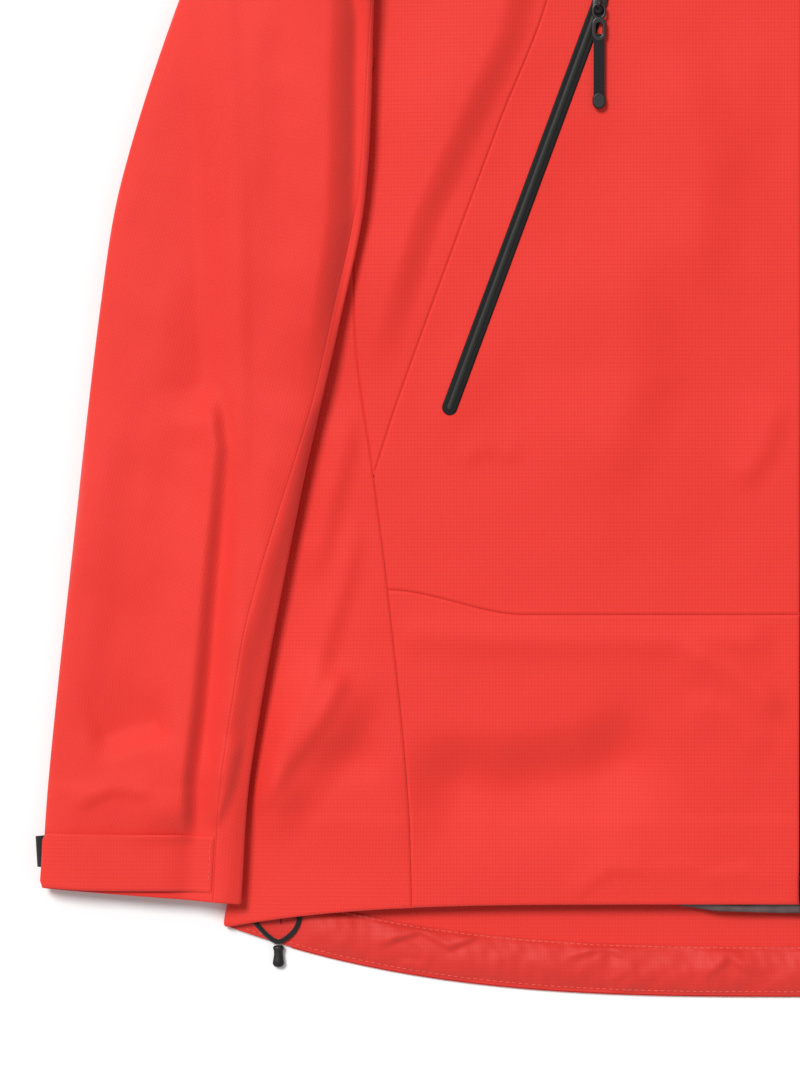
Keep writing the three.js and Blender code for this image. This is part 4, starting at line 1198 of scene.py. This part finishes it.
def collar_front(u, v):
    """From the back seam on the floor, round the fold, to the zip."""

    def collar_wrap(y):
        r = crest(y) / 2
        return wrapped(u, r - COLLAR_HALF, r, -COLLAR_BACK_HALF, -CENTRE_HALF)

    turned = np.clip((u - FLOOR_SHARE) / (0.5 - FLOOR_SHARE), 0, 1)
    top_x, _ = collar_wrap(lerp(NECK_BACK_Y, COLLAR_TOP_Y, v))
    bottom = np.where(u > 0.5, front_top_y(top_x), lerp(NECK_BACK_Y, NECK[1], turned))
    y = lerp(bottom, COLLAR_TOP_Y + COLLAR_REACH, v)
    x, z = collar_wrap(y)
    ripple = hood_ripples(x, y) * COLLAR_RIPPLE * smooth(0.5, 0.65, u) * smooth(1, 0.9, u)
    return x, y, z + ripple


def build_neck():
    sheet_piece("collar_back", "shell", grid_of(collar_back, spaced(100), spaced(62)), thickness=FLOOR_CLOTH)
    for side, sign in SIDES:
        grid = grid_of(collar_front, spaced(190), spaced(80), sign)
        sheet_piece(f"collar_front_{side}", "shell", grid, weave=np.stack([arc(grid, 1), grid[..., 1]], -1))
    for name, low, high in HOOD_PARTS:
        grid = grid_of(hood_wall, spaced(110), lerp(low, high, spaced(660 * (high - low))))
        sheet_piece(name, "hood", grid, weave=np.stack([arc(grid, 1), arc(grid, 0)], -1), blend=HOOD_BEND)
    grid = grid_of(hood_centre, spaced(150, 5), spaced(200, 5))
    sheet_piece("hood_centre_panel", "hood", grid, thickness=FLOOR_CLOTH, blend=HOOD_BEND,
                name="hood_centre_cloth")
    grid = grid_of(hood_brim, spaced(46), spaced(180))
    sheet_piece("hood_brim", "hood", grid, thickness=BRIM_THICKNESS)
    route, _ = smooth_route([(x, y, HANGER_Z) for x, y in HANGER], 60)
    add_piece("hanger_loop_braid", "shell", tube_mesh(route, HANGER_R), braid, ["hanger_loop"])


# ---- Zips ------------------------------------------------------------------------------------------
ZIP_ANGLE = math.atan2(POCKET_TOP[0] - POCKET_BOTTOM[0], POCKET_TOP[1] - POCKET_BOTTOM[1])
STRIP_RISE = 0.45
STRIP_THICKNESS = 0.8
BAND_HALF = 1.5
BAND_RISE = 0.5
BAND_MARGIN = 2.4
BAND_CROWN = 0.35
BAND_THICKNESS = 0.4
GARAGE_RISE = 1.2
GARAGE_X = (-6.5, 6.5)
GARAGE_Y = (-3, 10)
COIL_ENDS = (-481, 284)
COIL_PITCH = 1.5
COIL_EDGE = 1.2
COIL_ROW_RISE = 0.75
COIL_RIB = 0.22
COIL_ROW_X = 1.15
COIL_ROW_HALF = 0.8
COIL_DROP = 1.5
COIL_THICKNESS = 0.6
BAG_Y = (-262, -14)
BAG_INNER_X = -32
BAG_LAP = 10
BAG_RIM = 0.17
BAG_DROP = 2.4
BAG_DEPTH = 7
SHOWN_NODES = (
    ("hem_elastic", braid), ("hem_anchor_right", webbing), ("hem_anchor_left", webbing),
    ("main_zip_tape_right", webbing), ("main_zip_tape_left", webbing), ("wind_flap", grey_tape),
)


def zip_x(y):
    return POCKET_BOTTOM[0] + (y - POCKET_BOTTOM[1]) * math.tan(ZIP_ANGLE)


def strip_grid(sign, half, rise, margin=0.0, crown=0.0):
    """A round-ended strip along the pocket zip, a rise above the front and crown higher in its middle."""
    length = (POCKET_TOP[1] - POCKET_BOTTOM[1]) / math.cos(ZIP_ANGLE)
    ends = half * (1 - np.cos(np.linspace(0, np.pi / 2, 8)))
    along = np.concatenate([ends, np.linspace(half, length - half, 90)[1:-1], length - ends[::-1]])

    def surface(u, s):
        inset = np.minimum(np.minimum(s - margin, length - margin - s), half)
        out = half * np.sqrt(np.maximum(1 - (1 - inset / half) ** 2, 0.0004)) * u
        x = POCKET_BOTTOM[0] + math.sin(ZIP_ANGLE) * s + math.cos(ZIP_ANGLE) * out
        y = POCKET_BOTTOM[1] + math.cos(ZIP_ANGLE) * s - math.sin(ZIP_ANGLE) * out
        return x, y, 0

    us = np.linspace(-1, 1, 13)
    grid = grid_of(surface, us, lerp(margin, length - margin, along / length), sign)
    return on_front(grid, rise + crown * (1 - us**2))


def coil(u, y):
    """The main zip between the front panels: two rows of coil under a thin laminate."""
    x = u * (CENTRE_HALF + COIL_EDGE)
    rows = np.exp(-(((np.abs(x) - COIL_ROW_X) / COIL_ROW_HALF) ** 2))
    ribs = 0.5 + 0.5 * np.sin(2 * np.pi * y / COIL_PITCH + np.pi * (x > 0))
    return x, y, crest(y) - COIL_DROP + rows * (COIL_ROW_RISE + COIL_RIB * ribs)


def pocket_bag(u, v):
    y = lerp(*BAG_Y, v)
    x = lerp(zip_x(y) - BAG_LAP, BAG_INNER_X, u)
    rim = smooth(0, BAG_RIM, np.minimum(np.minimum(u, 1 - u), np.minimum(v, 1 - v)))
    return x, y, front_z(x, y) - BAG_DROP - BAG_DEPTH * rim


def pocket_garage(u, v):
    """The small fold of cloth that the slider parks under at the top of its zip."""
    return POCKET_TOP[0] + lerp(*GARAGE_X, u), POCKET_TOP[1] + lerp(*GARAGE_Y, v), 0


def build_zips():
    for side, sign in SIDES:
        strip = shell_mesh(strip_grid(sign, POCKET_STRIP / 2, STRIP_RISE), STRIP_THICKNESS)
        add_piece(f"pocket_zip_strip_{side}_laminate", "shell", strip, laminate, [f"pocket_zip_strip_{side}"])
        band = strip_grid(sign, BAND_HALF, BAND_RISE, BAND_MARGIN, BAND_CROWN)
        add_piece(f"pocket_zip_band_{side}", "shell", shell_mesh(band, BAND_THICKNESS), zip_band)
        grid = grid_of(pocket_bag, spaced(110, 5), spaced(250, 5), sign)
        sheet_piece(f"pocket_bag_{side}", "shell", grid, lining, "")
        garage = on_front(grid_of(pocket_garage, spaced(13, 1.0), spaced(13, 1.0), sign), GARAGE_RISE)
        sheet_piece(f"pocket_zip_garage_{side}", "shell", garage)
    coil_rows = grid_of(coil, np.linspace(-1, 1, 25), np.arange(*COIL_ENDS, COIL_PITCH / 5))
    add_piece("main_zip_coil_laminate", "shell", shell_mesh(coil_rows, COIL_THICKNESS), laminate,
              ["main_zip_coil"])


def dress_nodes():
    """Nodes that are almost hidden keep the shape they come with and get a material."""
    for node, material in SHOWN_NODES:
        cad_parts[node].data.materials[0] = material


# ---- Sliders and pulls -----------------------------------------------------------------------------
MAIN_SLIDER = 8
POCKET_SLIDER = 7.5
PULL_RING = ((7, -8, 0.6), (4.6, -6.2, -0.6))
PULL_EYE = ((7, -18, -6.2), (3.2, -15.8, -9))
STRAP_WIDTH = 5.4
STRAP_TOP = -14.4
STRAP_END = 2.5
TIP_WIDTH = 6.4
TIP_LENGTH = 8
TIP_RISE = 0.1
SLIDER_HALF_LENGTH = 4.6
SLIDER_HALF_HEIGHT = 0.85
SLIDER_DROP = 2.25
SLIDER_SQUARENESS = 0.6
NOSE_WIDTH = 0.66
HOOP_HALF = 2.15
HOOP_HEIGHT = 3.9
HOOP_DROP = 1.5
HOOP_R = 0.62
WELD = 0.00002


def outline(width, low, high, count=24):
    """A slot or tab with round ends, centred on x = 0 from y = low to y = high."""
    r = width / 2
    turns = np.linspace(0, np.pi, count)
    upper = [(r * math.cos(t), high - r + r * math.sin(t)) for t in turns]
    lower = [(-r * math.cos(t), low + r - r * math.sin(t)) for t in turns]
    return upper + lower


def plate(name, outlines, thickness, bevel, place, body, material, replaces=()):
    """A plate with rounded edges from an outline and the outlines of its holes, centred on z = 0."""
    data = bpy.data.curves.new(name, "CURVE")
    data.dimensions, data.fill_mode = "2D", "BOTH"
    data.extrude, data.bevel_depth, data.bevel_resolution = (thickness / 2 - bevel), bevel, 3
    data.offset = -bevel
    for points in outlines:
        spline = data.splines.new("POLY")
        spline.points.add(len(points) - 1)
        spline.points.foreach_set("co", np.array([(x, y, 0, 1) for x, y in points]).ravel())
        spline.use_cyclic_u = True
    drawn = add_object(name + "_drawn", data)
    mesh = bpy.data.meshes.new_from_object(drawn.evaluated_get(bpy.context.evaluated_depsgraph_get()))
    bpy.data.objects.remove(drawn)
    mesh.transform(place)
    shape = np.array([v.co for v in mesh.vertices]), [list(p.vertices) for p in mesh.polygons]
    piece = add_piece(name, body, shape, material, replaces)
    weld = bmesh.new()
    weld.from_mesh(piece.data)
    bmesh.ops.remove_doubles(weld, verts=weld.verts, dist=WELD)
    bmesh.ops.recalc_face_normals(weld, faces=weld.faces)
    weld.to_mesh(piece.data)
    weld.free()
    for polygon in piece.data.polygons:
        polygon.use_smooth = len(polygon.vertices) == 4


def on_zip(x, y, angle):
    """A pivot above the front. Its Y runs along a zip turned by an angle from the jacket's Y."""
    along = Vector((math.sin(angle), math.cos(angle), 0))
    height = float(front_z(np.float64(x), y))
    along.z = float(front_z(x + along.x, y + along.y)) - height
    across = Vector((along.y, -along.x, 0)).normalized()
    up = across.cross(along).normalized()
    along.normalize()
    place = Vector((x, y, height)) + up * PIVOT_RISE
    return Matrix.Translation(place) @ Matrix((across, along, up)).transposed().to_4x4()


def add_slider(name, body, width, x, y, angle, rows=26, columns=32):
    """A domed slider body with a flared nose and an arched hoop that holds the pull."""
    place = on_zip(x, y, angle)
    c, d = (np.sign(t) * np.abs(t) ** SLIDER_SQUARENESS for t in circle(columns))
    vertices = []
    for s in np.cos(np.linspace(0, np.pi, rows)):
        along = -SLIDER_HALF_LENGTH * s
        half = width / 2 * lerp(NOSE_WIDTH, 1, smooth(-SLIDER_HALF_LENGTH, 2.0, along))
        out = half * max(1 - abs(s) ** 5, 0.02) ** 0.5
        tall = SLIDER_HALF_HEIGHT * max(1 - abs(s) ** 6, 0.02) ** 0.5
        ring = np.hstack([c * out, along + 0 * c, d * tall - SLIDER_DROP])
        vertices.extend(place @ Vector(point) for point in ring)
    add_piece(f"{name}_slider_body", body, (vertices, skin(rows, columns, flip=True)), paint,
              [f"{name}_slider"])
    turns = np.linspace(0, math.pi, 25)
    arch = [(0, HOOP_HALF * math.cos(t), HOOP_HEIGHT * math.sin(t) - HOOP_DROP) for t in turns]
    arch = [place @ Vector(point) for point in arch]
    add_piece(f"{name}_slider_hoop", body, tube_mesh(arch, HOOP_R), paint)


def add_pull(name, body, length, x, y):
    """A pull that hangs along -Y from its pivot: a ring, a tab with an eye, webbing and a moulded tip."""
    place = on_zip(x, y, 0)
    tip_place = place @ Matrix.Translation((0, 0, TIP_RISE))
    ring, eye = ([outline(*slot) for slot in slots] for slots in (PULL_RING, PULL_EYE))
    strap = [outline(STRAP_WIDTH, STRAP_END - length, STRAP_TOP)]
    tip = [outline(TIP_WIDTH, -length, TIP_LENGTH - length)]
    plate(f"{name}_pull_ring", ring, 1.2, 0.35, place, body, paint, [f"{name}_pull"])
    plate(f"{name}_pull_tab", eye, 1.5, 0.5, place, body, paint)
    plate(f"{name}_pull_webbing", strap, 1.0, 0.3, place, body, webbing)
    plate(f"{name}_pull_tip", tip, 1.9, 0.8, tip_place, body, rubber)


def build_pulls():
    ends = ("upper", UPPER_SLIDER_Y, PULL_LENGTH), ("lower", LOWER_SLIDER_Y, SHORT_PULL_LENGTH)
    for end, y, length in ends:
        add_slider(f"main_zip_{end}", f"{end}_slider", MAIN_SLIDER, 0, y, 0)
        add_pull(f"main_zip_{end}", f"{end}_pull", length, 0, y)
    for side, sign in SIDES:
        x = sign * zip_x(POCKET_SLIDER_Y)
        add_slider(f"pocket_zip_{side}", f"pocket_slider_{side}", POCKET_SLIDER, x, POCKET_SLIDER_Y,
                   sign * ZIP_ANGLE)
        add_pull(f"pocket_zip_{side}", f"pocket_pull_{side}", PULL_LENGTH, x, POCKET_SLIDER_Y)


add_camera()
add_floor()
add_studio()
build_hems()
build_body()
build_sleeves()
build_neck()
build_zips()
build_pulls()
dress_nodes()
